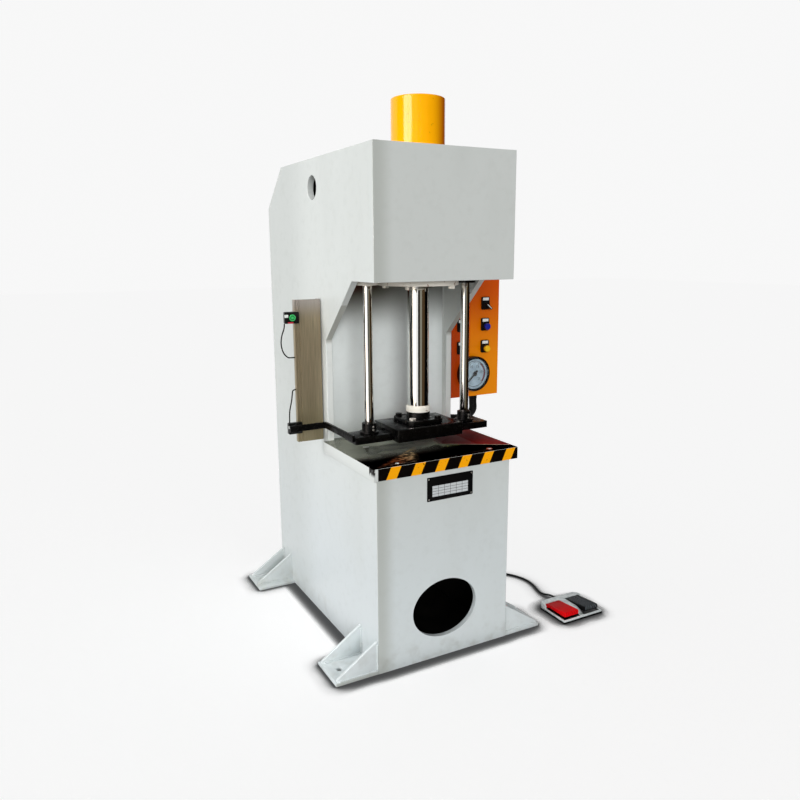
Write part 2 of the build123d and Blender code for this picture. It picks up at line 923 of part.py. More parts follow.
# Pressure gauge
def gauge_case():
    face_y = panel_face_y
    front = face_y - gauge_deep
    case = rod_y(gauge_x, gauge_z, front, face_y, gauge_r)
    case = chamfer(case.edges().group_by(Axis.Y)[0], 4)
    case -= rod_y(gauge_x, gauge_z, front - 1, front + gauge_dial_back + gauge_dial_t, gauge_face_r)
    case += rod_y(gauge_x, gauge_z, face_y, face_y + gauge_back_len, gauge_r - gauge_back_step)
    return case


def gauge_dial():
    y0 = panel_face_y - gauge_deep + gauge_dial_back
    dial = rod_y(gauge_x, gauge_z, y0, y0 + gauge_dial_t, gauge_face_r)
    return dial - rod_y(gauge_x, gauge_z, y0 - 1, y0 + gauge_dial_t + 1, 2.1)


def gauge_glass():
    y0 = panel_face_y - gauge_deep + 2
    return rod_y(gauge_x, gauge_z, y0, y0 + gauge_glass_t, gauge_face_r)


def gauge_needle():
    dial_y = panel_face_y - gauge_deep + gauge_dial_back
    y1 = dial_y - needle_gap
    y0 = y1 - needle_t
    hub = rod_y(0, 0, y0 - 1, y1, needle_hub_r)
    hub += rod_y(0, 0, y1, dial_y + gauge_dial_t, 2)
    blade = [(-needle_tail, -2.5), (needle_len, -0.5), (needle_len, 0.5), (-needle_tail, 2.5)]
    turned = Rot(0, -needle_low_angle, 0) * (hub + slab_y(blade, y0, y1))
    return Pos(gauge_x, 0, gauge_z) * turned


# Ribbed conduit that leaves the box downwards and curls into the side plate
def conduit_route():
    x, y, z = conduit_x, conduit_y, box_low_z - conduit_nut_h
    nut_x = outer_x + conduit_nut_h
    return [
        (x, y, z),
        (x, y, z - 30),
        (x + 8, y + 6, z - 65),
        (x - 6, y + 26, z - 96),
        (x - 40, y + 54, z - 109),
        (x - 82, y + 76, z - 107),
        (nut_x + 32, conduit_wall_y, conduit_wall_z),
        (nut_x, conduit_wall_y, conduit_wall_z),
    ]


def control_conduit():
    points = conduit_route()
    radii = arc_radii(points)
    tube, path = bent_tube(points, radii, conduit_r)
    print("conduit length", round(path.length), "radii", [round(r) for r in radii])
    tube += rod_z(conduit_x, conduit_y, box_low_z - conduit_nut_h, box_low_z, conduit_nut_r)
    tube += rod_z(conduit_x, conduit_y, box_low_z, box_low_z + 2 * box_wall, conduit_r)
    nut_x = outer_x + conduit_nut_h
    tube += rod_x(conduit_wall_y, conduit_wall_z, outer_x, nut_x, conduit_nut_r)
    return tube + rod_x(conduit_wall_y, conduit_wall_z, inner_x - 5, outer_x, conduit_r)


# Blank name plate on the base
def name_plate():
    half = name_plate_w / 2
    x, z = name_plate_x, name_plate_z
    y0 = front_y - name_plate_t
    plate = block(x - half, x + half, y0, front_y, z - name_plate_h / 2, z + name_plate_h / 2)
    return fillet(plate.edges().filter_by(Axis.Y), 3)


# Oil tank with its lid, filler cap and two feet
def oil_tank():
    y0, y1 = tank_front_y, tank_back_y
    tank = block(-tank_half_w, tank_half_w, y0, y1, tank_low_z, tank_high_z)
    tank = fillet(tank.edges().filter_by(Axis.Z), 20)
    for side in (-1, 1):
        x0, x1 = sorted((side * tank_half_w, side * (tank_half_w - tank_foot_w)))
        tank += block(x0, x1, y0 + 30, y1 - 30, base_floor_t, tank_low_z)
    half = tank_half_w + 10
    tank += block(-half, half, y0 - 10, y1 + 10, tank_high_z, lid_top_z)
    return tank + rod_z(filler_x, y1 - 60, lid_top_z, lid_top_z + 45, filler_r)


def motor():
    """Finned motor with its foot, terminal box and the bell housing that holds the pump."""
    x, y0, z = motor_x, motor_y, motor_axis_z
    y1 = y0 + motor_length
    body = rod_y(x, z, y0, y1, motor_r - fin_out)
    for i in range(fin_count):
        fin = block(-fin_t / 2, fin_t / 2, y0 + 20, y1 - 30, 0, motor_r)
        body += Pos(x, 0, z) * Rot(0, 360 / fin_count * i, 0) * fin
    body += block(x - 70, x + 70, y0 + 40, y1 - 40, lid_top_z, lid_top_z + 14)
    body += block(x - 50, x + 50, y0 + 40, y1 - 40, lid_top_z, z)
    half = terminal_box_w / 2
    mid_y = (y0 + y1) / 2
    box_y0, box_y1 = mid_y - terminal_box_l / 2, mid_y + terminal_box_l / 2
    body += block(x - half, x + half, box_y0, box_y1, z, z + motor_r + terminal_box_h)
    bell_y = y0 - bell_length
    body += rod_y(x, z, bell_y, y0, bell_r)
    body -= rod_y(x, z, bell_y - 1, y0, bell_r - bell_wall)
    body -= block(x - 30, x + 30, bell_y + 14, y0 - 10, z, z + bell_r + 1)
    return body - rod_y(x, z, y0 - 1, y0 + shaft_seat, shaft_r + running_gap)


def motor_shaft():
    """Shaft in the motor with the coupling inside the bell housing."""
    y0 = motor_y - bell_length + shaft_end_gap
    shaft = rod_y(motor_x, motor_axis_z, y0, motor_y + shaft_seat - shaft_end_gap, shaft_r)
    return shaft + rod_y(motor_x, motor_axis_z, y0, y0 + coupling_length, coupling_r)


def pump_port():
    """Place of the pressure outlet on top of the pump."""
    return (motor_x, motor_y - bell_length - pump_length / 2, motor_axis_z + pump_r + 20)


def pump():
    y1 = motor_y - bell_length
    body = rod_y(motor_x, motor_axis_z, y1 - pump_length, y1 - 14, pump_r)
    body += rod_y(motor_x, motor_axis_z, y1 - 14, y1, bell_r)
    x, y, z = pump_port()
    return body + rod_z(x, y, motor_axis_z, z, 16)


def valve_block():
    """Manifold with a solenoid on each side."""
    half = valve_w / 2
    body = block(valve_x - half, valve_x + half, valve_y - half, valve_y + half, lid_top_z, valve_top_z)
    for side in (-1, 1):
        x0, x1 = sorted((valve_x + side * half, valve_x + side * (half + coil_box)))
        y0, z0 = valve_y - coil_box / 2, valve_top_z - 1.5 * coil_box
        body += block(x0, x1, y0, y0 + coil_box, z0, z0 + coil_box)
    return body


def oil_pipe_routes():
    """Pipes from the pump to the valve block and from there to the two ports."""
    x, y, z = pump_port()
    pressure = [
        (x, y, z),
        (x, y, z + pipe_rise),
        (valve_x, valve_y, z + pipe_rise),
        (valve_x, valve_y, valve_top_z),
    ]
    x = valve_x - pipe_step
    upper = [
        (x, valve_y - pipe_step, valve_top_z),
        (x, valve_y - pipe_step, frame_height - upper_pipe_low),
        (0, upper_pipe_y, frame_height - upper_pipe_high),
        (0, upper_pipe_y, upper_port_z),
        (0, port_end_y, upper_port_z),
    ]
    x = valve_x + pipe_step
    lower = [
        (x, valve_y + pipe_step, valve_top_z),
        (x, valve_y + pipe_step, lower_port_z - lower_pipe_drop),
        (0, valve_y - 4 * pipe_step, lower_port_z),
        (0, port_end_y, lower_port_z),
    ]
    return pressure, upper, lower


def oil_pipes():
    pipes = []
    for points in oil_pipe_routes():
        tube, path = bent_tube(points, arc_radii(points, pipe_bend_r), pipe_r)
        pipes.append(tube)
    return Compound(children=pipes)


# Foot switch: black base, cast tray with two wells, two hinged pedals on one pin
def pedal_outline(grow):
    """Outline seen from above, with the two rear corners cut."""
    x0 = pedal_box_x - pedal_box_w / 2 - grow
    x1 = pedal_box_x + pedal_box_w / 2 + grow
    y0 = pedal_front_y - grow
    y1 = pedal_rear_y + grow
    cut = pedal_corner
    return [(x0, y0), (x1, y0), (x1, y1 - cut), (x1 - cut, y1), (x0 + cut, y1), (x0, y1 - cut)]


def pedal_wells():
    """X limits of the two wells, left and right of the divider."""
    left = pedal_box_x - pedal_box_w / 2 + pedal_wall
    right = pedal_box_x + pedal_box_w / 2 - pedal_wall
    mid = pedal_divider / 2
    return [(left, pedal_box_x - mid), (pedal_box_x + mid, right)]


def pedal_base():
    return slab_z(pedal_outline(pedal_base_lip), 0, pedal_base_t)


def pedal_side_profile(high_y, run):
    """Low lip in front that rises over a run to the height of the deck."""
    return [
        (pedal_front_y, pedal_base_t),
        (pedal_front_y, pedal_lip_z),
        (high_y - run, pedal_lip_z),
        (high_y, pedal_deck_z),
        (pedal_rear_y, pedal_deck_z),
        (pedal_rear_y, pedal_base_t),
    ]


def pedal_housing():
    half = pedal_box_w / 2
    x0, x1 = pedal_box_x - half, pedal_box_x + half
    body = slab_z(pedal_outline(0), pedal_base_t, pedal_deck_z)
    slope_y = pedal_pin_y + pedal_pin_r
    body &= slab_x(pedal_side_profile(slope_y, pedal_slope_run), x0, x1)
    mid = pedal_divider / 2
    ridge_y = pedal_front_y + pedal_wall + pedal_divider_run
    ridge = pedal_side_profile(ridge_y, pedal_divider_run)
    body += slab_x(ridge, pedal_box_x - mid, pedal_box_x + mid)
    for a, b in pedal_wells():
        body -= block(a, b, pedal_front_y + pedal_wall, pedal_deck_y, pedal_floor_z, pedal_deck_z + 1)
    return body - rod_x(pedal_pin_y, pedal_pin_z, x0 + 3, x1 - 3, pedal_pin_r)


def pedal_pin():
    half = pedal_box_w / 2 - 3
    return rod_x(pedal_pin_y, pedal_pin_z, pedal_box_x - half, pedal_box_x + half, pedal_pin_r)


def pedal(index):
    """Wedge with ribs along its top, hinged near its low rear end."""
    a, b = pedal_wells()[index]
    x0, x1 = a + pedal_gap, b - pedal_gap
    y0 = pedal_front_y + pedal_wall + pedal_gap
    y1 = pedal_deck_y - pedal_gap
    low = pedal_front_z - pedal_front_t
    rear_z = pedal_deck_z - pedal_rear_drop
    lug_low = pedal_pin_z - pedal_pin_r - 3
    outline = [
        (y0, low),
        (y0, pedal_front_z - 5),
        (y0 + 5, pedal_front_z),
        (y1, rear_z),
        (y1, pedal_pin_z - 3),
        (pedal_pin_y + 2, lug_low),
        (pedal_pin_y - 4, lug_low),
        (pedal_pin_y - 14, low),
    ]
    body = slab_x(outline, x0, x1)
    rib = [(y0 + 10, low + 5), (y0 + 10, pedal_front_z - 1), (y1 - 6, rear_z), (y1 - 6, low + 5)]
    rib = [(y, z if z == low + 5 else z + pedal_rib_h) for y, z in rib]
    pitch = (x1 - x0) / pedal_rib_count
    for i in range(pedal_rib_count):
        x = x0 + pitch * (i + 0.5)
        body += slab_x(rib, x - pitch / 4, x + pitch / 4)
    return body - rod_x(pedal_pin_y, pedal_pin_z, x0 - 1, x1 + 1, pedal_pin_r + running_gap)


# Cord of the foot switch: floor stretch, stored coil and stretch to the frame gland
def front_cord_route():
    """From the strain relief down to the floor and round to the coil's lower stub."""
    x, y0 = cord_exit_x, pedal_rear_y + relief_len
    far_x = coil_x + coil_mid_r + cord_r
    end_y = coil_y - coil_stub
    return [
        (x, y0, relief_z),
        (x, y0 + 20, relief_z),
        (x - 9, y0 + 52, relief_z - 8),
        (x - 8, y0 + 86, cord_z),
        (x + 1, y0 + 120, cord_z),
        (x + 14, y0 + 158, cord_z),
        (x + 20, y0 + 202, cord_z),
        (x + 14, y0 + 247, cord_z),
        (x - 6, y0 + 292, cord_z),
        (x - 35, y0 + 332, cord_z),
        (far_x + 40, end_y - 90, cord_z),
        (far_x + 15, end_y - 57, cord_z),
        (far_x, end_y - 25, cord_z),
        (far_x, end_y, cord_z),
    ]


def rear_cord_route():
    """From the coil's upper stub up to the gland on the frame."""
    x0, near_y, low_z = coil_x - coil_stub, coil_y + coil_mid_r + cord_r, cord_z + 2 * cord_r
    far_x, far_y = gland_nose_x, front_y + cord_gland_depth
    run = (x0 - far_x) * 0.31
    return [
        (x0, near_y, low_z),
        (x0 - run, near_y, low_z),
        (far_x + run, far_y, cord_gland_z),
        (far_x, far_y, cord_gland_z),
    ]


def pedal_cord():
    tubes = []
    for name, points in (("front", front_cord_route()), ("rear", rear_cord_route())):
        radii = arc_radii(points)
        tube, path = bent_tube(points, radii, cord_r)
        ideal = math.pi * cord_r**2 * path.length
        print(name, "cord length", round(path.length), "radii", [round(r) for r in radii])
        print(name, "cord volume over section x length", round(tube.volume / ideal, 4))
        tubes.append(tube)
    return Compound(children=tubes)


def cord_coil():
    """Ring of stored turns, two wide and two high, with a straight stub at each end."""
    edge = coil_mid_r + cord_r
    outer = coil_mid_r + 2 * cord_r + coil_slack
    inner = coil_mid_r - 2 * cord_r - coil_slack
    height = 4 * cord_r + coil_slack
    coil = rod_z(coil_x, coil_y, 0, height, outer) - rod_z(coil_x, coil_y, -1, height + 1, inner)
    coil += rod_y(coil_x + edge, cord_z, coil_y - coil_stub, coil_y, cord_r)
    return coil + rod_x(coil_y + edge, cord_z + 2 * cord_r, coil_x - coil_stub, coil_x, cord_r)


def cord_glands():
    """Strain relief on the foot switch and screwed gland on the frame."""
    y0 = pedal_rear_y
    relief = Pos(cord_exit_x, y0 + relief_len / 2, relief_z) * Rot(-90, 0, 0) * Cone(8, 5.5, relief_len)
    y, z = front_y + cord_gland_depth, cord_gland_z
    gland = rod_x(y, z, outer_x, outer_x + 8, gland_r + 4)
    gland += rod_x(y, z, inner_x - 5, gland_nose_x, gland_r)
    return Compound(children=[relief, gland])


def build():
    write("side_plate_left", side_plate(-1))
    write("side_plate_right", side_plate(1))
    write("head_front_plate", head_front_plate())
    write("head_top_plate", head_top_plate())
    write("head_floor_plate", head_floor_plate())
    write("throat_plate", throat_plate())
    write("base_front_plate", base_front_plate())
    write("base_floor_plate", base_floor_plate())
    write("back_plate", back_plate())
    write("rear_cover", rear_cover())
    write("work_table", work_table())
    for side, word in ((-1, "left"), (1, "right")):
        write(f"foot_front_{word}", foot(side, False))
        write(f"foot_rear_{word}", foot(side, True))
    write("guide_rods", guide_rods())
    write("cylinder_barrel", cylinder_barrel())
    write("cylinder_gland", cylinder_gland())
    write("cylinder_bolts", cylinder_bolts())
    write("guide_bushes", guide_bushes())
    write("piston", piston())
    write("piston_rod", piston_rod())
    write("rod_ring", rod_ring())
    write("ram_flange", ram_flange())
    write("ram_bolts", ram_bolts())
    write("platen", platen())
    write("crossbar", crossbar())
    write("rod_collars", rod_collars())
    write("trigger_arm", trigger_arm())
    write("sensor_rail", sensor_rail())
    write("limit_sensors", limit_sensors())
    write("sensor_cables", sensor_cables())
    write("control_box", control_box())
    write("control_panel", control_panel())
    write("button_holders", button_holders())
    for name, word in (("blue", "blue"), ("yellow", "yellow"), ("left_upper", "upper"), ("left_lower", "lower")):
        write(f"button_{word}", push_button(*control_places()[name]))
    write("selector_knob", selector_knob())
    write("gauge_case", gauge_case())
    write("gauge_dial", gauge_dial())
    write("gauge_glass", gauge_glass())
    write("gauge_needle", gauge_needle())
    write("control_conduit", control_conduit())
    write("name_plate", name_plate())
    write("oil_tank", oil_tank())
    write("motor", motor())
    write("motor_shaft", motor_shaft())
    write("pump", pump())
    write("valve_block", valve_block())
    write("oil_pipes", oil_pipes())
    write("pedal_base", pedal_base())
    write("pedal_housing", pedal_housing())
    write("pedal_pin", pedal_pin())
    write("pedal_red", pedal(0))
    write("pedal_black", pedal(1))
    write("pedal_cord", pedal_cord())
    write("cord_coil", cord_coil())
    write("cord_glands", cord_glands())


build()
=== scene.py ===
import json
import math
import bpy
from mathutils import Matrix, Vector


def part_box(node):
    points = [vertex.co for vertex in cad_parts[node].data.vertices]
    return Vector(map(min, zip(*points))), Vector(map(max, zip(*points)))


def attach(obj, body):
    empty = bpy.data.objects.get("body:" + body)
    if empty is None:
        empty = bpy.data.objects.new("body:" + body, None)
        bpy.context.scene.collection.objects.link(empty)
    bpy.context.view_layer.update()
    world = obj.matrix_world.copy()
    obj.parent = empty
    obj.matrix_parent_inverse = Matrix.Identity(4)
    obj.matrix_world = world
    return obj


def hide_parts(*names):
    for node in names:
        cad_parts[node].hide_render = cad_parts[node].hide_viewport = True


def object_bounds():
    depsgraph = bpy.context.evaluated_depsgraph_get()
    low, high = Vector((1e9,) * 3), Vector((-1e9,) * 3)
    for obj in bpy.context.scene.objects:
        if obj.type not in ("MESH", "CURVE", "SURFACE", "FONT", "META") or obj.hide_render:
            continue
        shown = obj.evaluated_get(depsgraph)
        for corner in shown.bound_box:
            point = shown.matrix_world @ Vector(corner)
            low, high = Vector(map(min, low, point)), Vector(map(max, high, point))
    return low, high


bl_info = {
    "name": "Open front hydraulic press",
    "version": (1, 0, 0),
    "blender": (4, 5, 0),
    "location": "3D View > Sidebar > Press",
    "description": "Finishes, cords and small parts of a hydraulic press on its CAD frame",
    "category": "Object",
}

import bpy
from bpy.props import FloatProperty, FloatVectorProperty, PointerProperty
from mathutils import Matrix, Vector

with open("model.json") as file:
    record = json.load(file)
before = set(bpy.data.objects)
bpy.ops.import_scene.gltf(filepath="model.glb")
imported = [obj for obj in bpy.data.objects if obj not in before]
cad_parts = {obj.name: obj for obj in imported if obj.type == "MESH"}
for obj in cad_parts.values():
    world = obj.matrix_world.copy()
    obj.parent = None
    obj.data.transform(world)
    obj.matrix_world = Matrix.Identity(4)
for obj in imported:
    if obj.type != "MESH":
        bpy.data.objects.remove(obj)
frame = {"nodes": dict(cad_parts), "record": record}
cad_low, cad_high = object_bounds()
body_of = {node: body for body, nodes in frame["record"]["behaviour"]["bodies"].items() for node in nodes}

# Faces of the frame by which the finishes and small pieces are placed, and two small margins in metres
SLACK, CLOSE = 0.0003, 0.0001
inner_x, outer_x = (corner.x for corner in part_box("side_plate_right"))
front_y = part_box("side_plate_right")[0].y
front_inside_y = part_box("head_front_plate")[1].y
back_inside_y = -front_inside_y
throat_y, throat_rear_y = (corner.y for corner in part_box("throat_plate"))
table_low, table_top = (corner.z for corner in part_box("work_table"))
head_low, head_inside = (corner.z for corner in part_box("head_floor_plate"))


def srgb(code):
    """Linear colour of an sRGB hex value."""
    parts = [int(code[i : i + 2], 16) / 255 for i in (1, 3, 5)]
    return tuple(c / 12.92 if c <= 0.04045 else ((c + 0.055) / 1.055) ** 2.4 for c in parts)


# Settings that a user would change
def size_setting(name, text, value):
    return FloatProperty(name=name, description=text, default=value, unit="LENGTH")


def colour_setting(name, text, code):
    return FloatVectorProperty(name=name, description=text, subtype="COLOR", size=3, default=srgb(code))


class PressSizes(bpy.types.PropertyGroup):
    plate_edge: size_setting("Plate edge", "Rounding of the cut edges of the plates", 0.0015)
    fine_edge: size_setting("Fine edge", "Rounding of small turned and moulded parts", 0.0007)
    bead: size_setting("Weld bead", "Half width of a weld bead", 0.0045)
    ripple: size_setting("Weld ripple", "Distance from one ripple of a weld to the next", 0.007)
    stripe_pitch: size_setting("Stripe pitch", "Distance between stripes on the hazard tape", 0.0985)
    stripe: size_setting("Stripe width", "Width of a yellow stripe on the tape", 0.041)
    guide_rod: size_setting("Guide rod", "Radius of the chromed sleeve on a guide rod", 0.0172)
    conduit_rib: size_setting("Conduit rib", "Distance between ribs of the conduit", 0.0045)


class PressColours(bpy.types.PropertyGroup):
    frame_enamel: colour_setting("Frame enamel", "Paint of the frame", "#cfd3d0")
    cylinder_enamel: colour_setting("Cylinder enamel", "Paint of the barrel", "#ffb000")
    panel_enamel: colour_setting("Panel enamel", "Paint of the control panel", "#f08c00")
    tape_yellow: colour_setting("Tape yellow", "Yellow of the hazard tape", "#ffab00")


# Mesh helpers
TURN = {"X": (0, math.pi / 2, 0), "Y": (math.pi / 2, 0, 0), "Z": (0, 0, 0)}
SMOOTH_ANGLE = math.radians(32)


def deselect():
    if bpy.context.mode != "OBJECT":
        bpy.ops.object.mode_set(mode="OBJECT")
    bpy.ops.object.select_all(action="DESELECT")


def pick(obj):
    """Makes obj the only selected and active object."""
    deselect()
    obj.select_set(True)
    bpy.context.view_layer.objects.active = obj
    return obj


def added(name, finish=None):
    """Names the primitive that was just added and sets its place into its mesh."""
    obj = bpy.context.object
    obj.name = name
    obj.data.name = name
    bpy.ops.object.transform_apply(location=True, rotation=True, scale=True)
    if finish:
        obj.data.materials.append(finish)
    return obj


def cuboid(name, low, high, finish=None):
    deselect()
    low, high = Vector(low), Vector(high)
    bpy.ops.mesh.primitive_cube_add(size=1, location=(low + high) / 2, scale=high - low)
    return added(name, finish)


def disc(name, centre, radius, depth, axis="Y", finish=None, sides=48):
    deselect()
    bpy.ops.mesh.primitive_cylinder_add(
        vertices=sides, radius=radius, depth=depth, location=centre, rotation=TURN[axis]
    )
    return added(name, finish)


def ring(name, centre, radius, thick, axis="Y", finish=None, around=48, across=10):
    deselect()
    bpy.ops.mesh.primitive_torus_add(
        major_radius=radius,
        minor_radius=thick,
        major_segments=around,
        minor_segments=across,
        location=centre,
        rotation=TURN[axis],
    )
    return added(name, finish)


def modify(obj, kind, **settings):
    """Adds one modifier with its settings and applies it."""
    pick(obj)
    change = obj.modifiers.new(kind.title(), kind)
    for name, value in settings.items():
        setattr(change, name, value)
    bpy.ops.object.modifier_apply(modifier=change.name)
    return obj


def soften(obj, width):
    """Rounds the sharp edges and shades the rest smooth."""
    if width:
        modify(obj, "BEVEL", width=width, segments=2, limit_method="ANGLE", angle_limit=SMOOTH_ANGLE)
    pick(obj)
    bpy.ops.object.shade_smooth_by_angle(angle=SMOOTH_ANGLE)
    return obj


def round_some(obj, width, test):
    """Rounds only the edges whose two ends pass the test, and keeps the flat faces flat."""
    pick(obj)
    bpy.ops.object.mode_set(mode="EDIT")
    bpy.ops.mesh.select_mode(type="EDGE")
    bpy.ops.mesh.select_all(action="DESELECT")
    bpy.ops.object.mode_set(mode="OBJECT")
    points = obj.data.vertices
    for edge in obj.data.edges:
        edge.select = test(points[edge.vertices[0]].co, points[edge.vertices[1]].co)
    bpy.ops.object.mode_set(mode="EDIT")
    bpy.ops.mesh.bevel(offset=width, segments=2, affect="EDGES")
    bpy.ops.object.mode_set(mode="OBJECT")
    bpy.ops.object.shade_smooth_by_angle(angle=SMOOTH_ANGLE)
    modify(obj, "WEIGHTED_NORMAL", keep_sharp=True)


def copy_of(obj, name, matrix):
    """Copy with its own mesh, moved in its mesh."""
    twin = obj.copy()
    twin.data = obj.data.copy()
    twin.name = name
    twin.data.transform(matrix)
    bpy.context.collection.objects.link(twin)
    return twin


def joined(name, objs):
    deselect()
    for obj in objs:
        obj.select_set(True)
    bpy.context.view_layer.objects.active = objs[0]
    bpy.ops.object.join()
    objs[0].name = name
    objs[0].data.name = name
    return objs[0]


def aside(obj, body="frame"):
    """A piece of its own rides on a body."""
    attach(obj, body)
    return obj


def paint_faces(obj, finish, test):
    """Gives the faces that pass the test a second finish."""
    obj.data.materials.append(finish)
    index = len(obj.data.materials) - 1
    for face in obj.data.polygons:
        if test(face):
            face.material_index = index


def merged_copy(node):
    """Copy of a CAD node's mesh with its loose triangles merged to clean faces."""
    source = frame["nodes"][node]
    obj = bpy.data.objects.new(f"{node}_finished", source.data.copy())
    bpy.context.collection.objects.link(obj)
    obj.data.materials.clear()
    pick(obj)
    bpy.ops.object.mode_set(mode="EDIT")
    bpy.ops.mesh.select_all(action="SELECT")
    bpy.ops.mesh.remove_doubles(threshold=0.00001)
    bpy.ops.mesh.dissolve_limited(angle_limit=math.radians(0.4))
    bpy.ops.object.mode_set(mode="OBJECT")
    return obj


def dress(finish, edge, *nodes):
    """Softened copies stand for CAD nodes, in one finish."""
    made = []
    for node in nodes:
        obj = soften(merged_copy(node), edge)
        obj.data.materials.append(finish)
        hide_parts(node)
        aside(obj, body_of[node])
        made.append(obj)
    return made


def paint_nodes(finish, *nodes):
    """CAD nodes that stay as they are, in one finish."""
    for node in nodes:
        obj = frame["nodes"][node]
        obj.data.materials.clear()
        obj.data.materials.append(finish)


def spline(name, points, radius, finish):
    """One smooth NURBS line through space with a round section."""
    curve = bpy.data.curves.new(name, "CURVE")
    curve.dimensions = "3D"
    curve.resolution_u = 6
    curve.bevel_depth = radius
    curve.bevel_resolution = 4
    curve.use_fill_caps = True
    line = curve.splines.new("NURBS")
    line.points.add(len(points) - 1)
    for spot, place in zip(line.points, points):
        spot.co = (*place, 1)
    line.order_u = 3
    line.use_endpoint_u = True
    obj = bpy.data.objects.new(name, curve)
    bpy.context.collection.objects.link(obj)
    if finish:
        curve.materials.append(finish)
    return obj


# Material helpers
FACTOR, FIRST, SECOND, MIXED = 0, 6, 7, 2


def add(tree, kind, inputs, **settings):
    """Adds one node, sets what it is told and links what is given as a socket."""
    node = tree.nodes.new(kind)
    for name, value in settings.items():
        setattr(node, name, value)
    for key, value in inputs.items():
        if isinstance(value, bpy.types.NodeSocket):
            tree.links.new(value, node.inputs[key])
        else:
            node.inputs[key].default_value = value
    return node


def opaque(colour):
    return (*colour[:3], 1)


def start(name, colour, **values):
    """A material with its shader, whose plain values are set on the shader itself."""
    finish = bpy.data.materials.new(name)
    finish.use_nodes = True
    tree = finish.node_tree
    shader = tree.nodes["Principled BSDF"]
    shader.inputs["Base Color"].default_value = opaque(colour)
    for key, value in values.items():
        shader.inputs[key.replace("_", " ")].default_value = value
    return finish, tree, shader


def patches(tree, size, low=0.35, high=0.65, stretch=(1, 1, 1), detail=3.0):
    """Cloudy patches of about that size in metres, from 0 to 1."""
    place = add(tree, "ShaderNodeTexCoord", {})
    scaled = add(tree, "ShaderNodeMapping", {"Vector": place.outputs["Object"], "Scale": stretch})
    inputs = {"Vector": scaled.outputs["Vector"], "Scale": 1 / size, "Detail": detail}
    cloud = add(tree, "ShaderNodeTexNoise", inputs)
    span = {"Value": cloud.outputs["Fac"], "From Min": low, "From Max": high}
    return add(tree, "ShaderNodeMapRange", span).outputs["Result"]


def along(tree, axis):
    """The place on that axis, in metres."""
    place = add(tree, "ShaderNodeTexCoord", {})
    return add(tree, "ShaderNodeSeparateXYZ", {"Vector": place.outputs["Object"]}).outputs[axis]


def within(tree, axis, low, high):
    """1 where the place on that axis lies between two values in metres."""
    inputs = {0: along(tree, axis), 1: (low + high) / 2, 2: (high - low) / 2}
    return add(tree, "ShaderNodeMath", inputs, operation="COMPARE").outputs[0]


def on_face(tree, axis, place, slack=0.001):
    """1 on a flat face at that place on the axis."""
    return within(tree, axis, place - slack, place + slack)


def fade(tree, axis, low, high):
    """Rises from 0 to 1 between two places on that axis."""
    inputs = {"Value": along(tree, axis), "From Min": low, "From Max": high}
    return add(tree, "ShaderNodeMapRange", inputs, interpolation_type="SMOOTHSTEP").outputs["Result"]


def mixed(tree, factor, first, second):
    """Colour between two colours or sockets."""
    inputs = {FACTOR: factor}
    for key, value in ((FIRST, first), (SECOND, second)):
        inputs[key] = value if isinstance(value, bpy.types.NodeSocket) else opaque(value)
    return add(tree, "ShaderNodeMix", inputs, data_type="RGBA").outputs[MIXED]


def times(tree, *masks):
    """Product of several masks or shares."""
    product = masks[0]
    for mask in masks[1:]:
        product = add(tree, "ShaderNodeMath", {0: product, 1: mask}, operation="MULTIPLY").outputs[0]
    return product


def either(tree, *masks):
    """The largest of several masks."""
    largest = masks[0]
    for mask in masks[1:]:
        largest = add(tree, "ShaderNodeMath", {0: largest, 1: mask}, operation="MAXIMUM").outputs[0]
    return largest


def opposite(tree, mask):
    """1 where the mask is 0, and 0 where it is 1."""
    return add(tree, "ShaderNodeMath", {0: 1.0, 1: mask}, operation="SUBTRACT").outputs[0]


def coloured(tree, shader, tone):
    """Gives the shader its colour from a socket."""
    tree.links.new(tone, shader.inputs["Base Color"])


def rough_between(tree, shader, mask, low, high):
    """Roughness that goes from low to high with the mask."""
    span = add(tree, "ShaderNodeMapRange", {"Value": mask, "To Min": low, "To Max": high})
    tree.links.new(span.outputs["Result"], shader.inputs["Roughness"])


def bumps(tree, shader, mask, height):
    """Raised where the mask is high, by that height in metres."""
    bump = add(tree, "ShaderNodeBump", {"Height": mask, "Distance": height, "Strength": 1.0})
    tree.links.new(bump.outputs["Normal"], shader.inputs["Normal"])


# Materials
def hidden_side(tree):
    """1 on the inner faces of the frame, in the base, behind the throat plate and in the head."""
    inside_x = within(tree, "X", -inner_x - SLACK, inner_x + SLACK)
    deep = times(tree, inside_x, within(tree, "Y", front_inside_y - SLACK, back_inside_y))
    base = times(tree, deep, within(tree, "Z", -0.01, table_low + SLACK))
    head = times(tree, deep, within(tree, "Z", head_inside - SLACK, cad_high.z))
    behind = times(tree, inside_x, within(tree, "Y", throat_rear_y - SLACK, back_inside_y))
    rear = times(tree, behind, within(tree, "Z", table_low - 0.005, cad_high.z))
    return either(tree, base, rear, head)


def painted_side_light(tree, colour):
    """Painted light and shade on the frame: a cooler tone low down, greyer to the rear of the left side and
    at its front corner.
    """
    flank = on_face(tree, "X", -outer_x, 0.0015)
    # Painted light low down: a cooler tone, lighter on the left flank than on the front.
    low_tone = mixed(tree, flank, srgb("#d6dee0"), srgb("#c4cbce"))
    low = opposite(tree, fade(tree, "Z", 0.25, 1.0))
    tone = mixed(tree, times(tree, low, 0.8), colour, low_tone)
    left_face = opposite(tree, fade(tree, "X", -outer_x + 0.001, -outer_x + 0.003))
    # Painted shade: greyer to the rear of the left side.
    rear = times(tree, fade(tree, "Y", 0.0, 0.3), left_face, 0.4)
    tone = mixed(tree, rear, tone, srgb("#a9aeab"))
    # Painted shade: greyer on the front beside its left corner.
    left = opposite(tree, fade(tree, "X", -0.270, -0.205))
    return mixed(tree, times(tree, on_face(tree, "Y", front_y), left, 0.75), tone, srgb("#b3b7b1"))


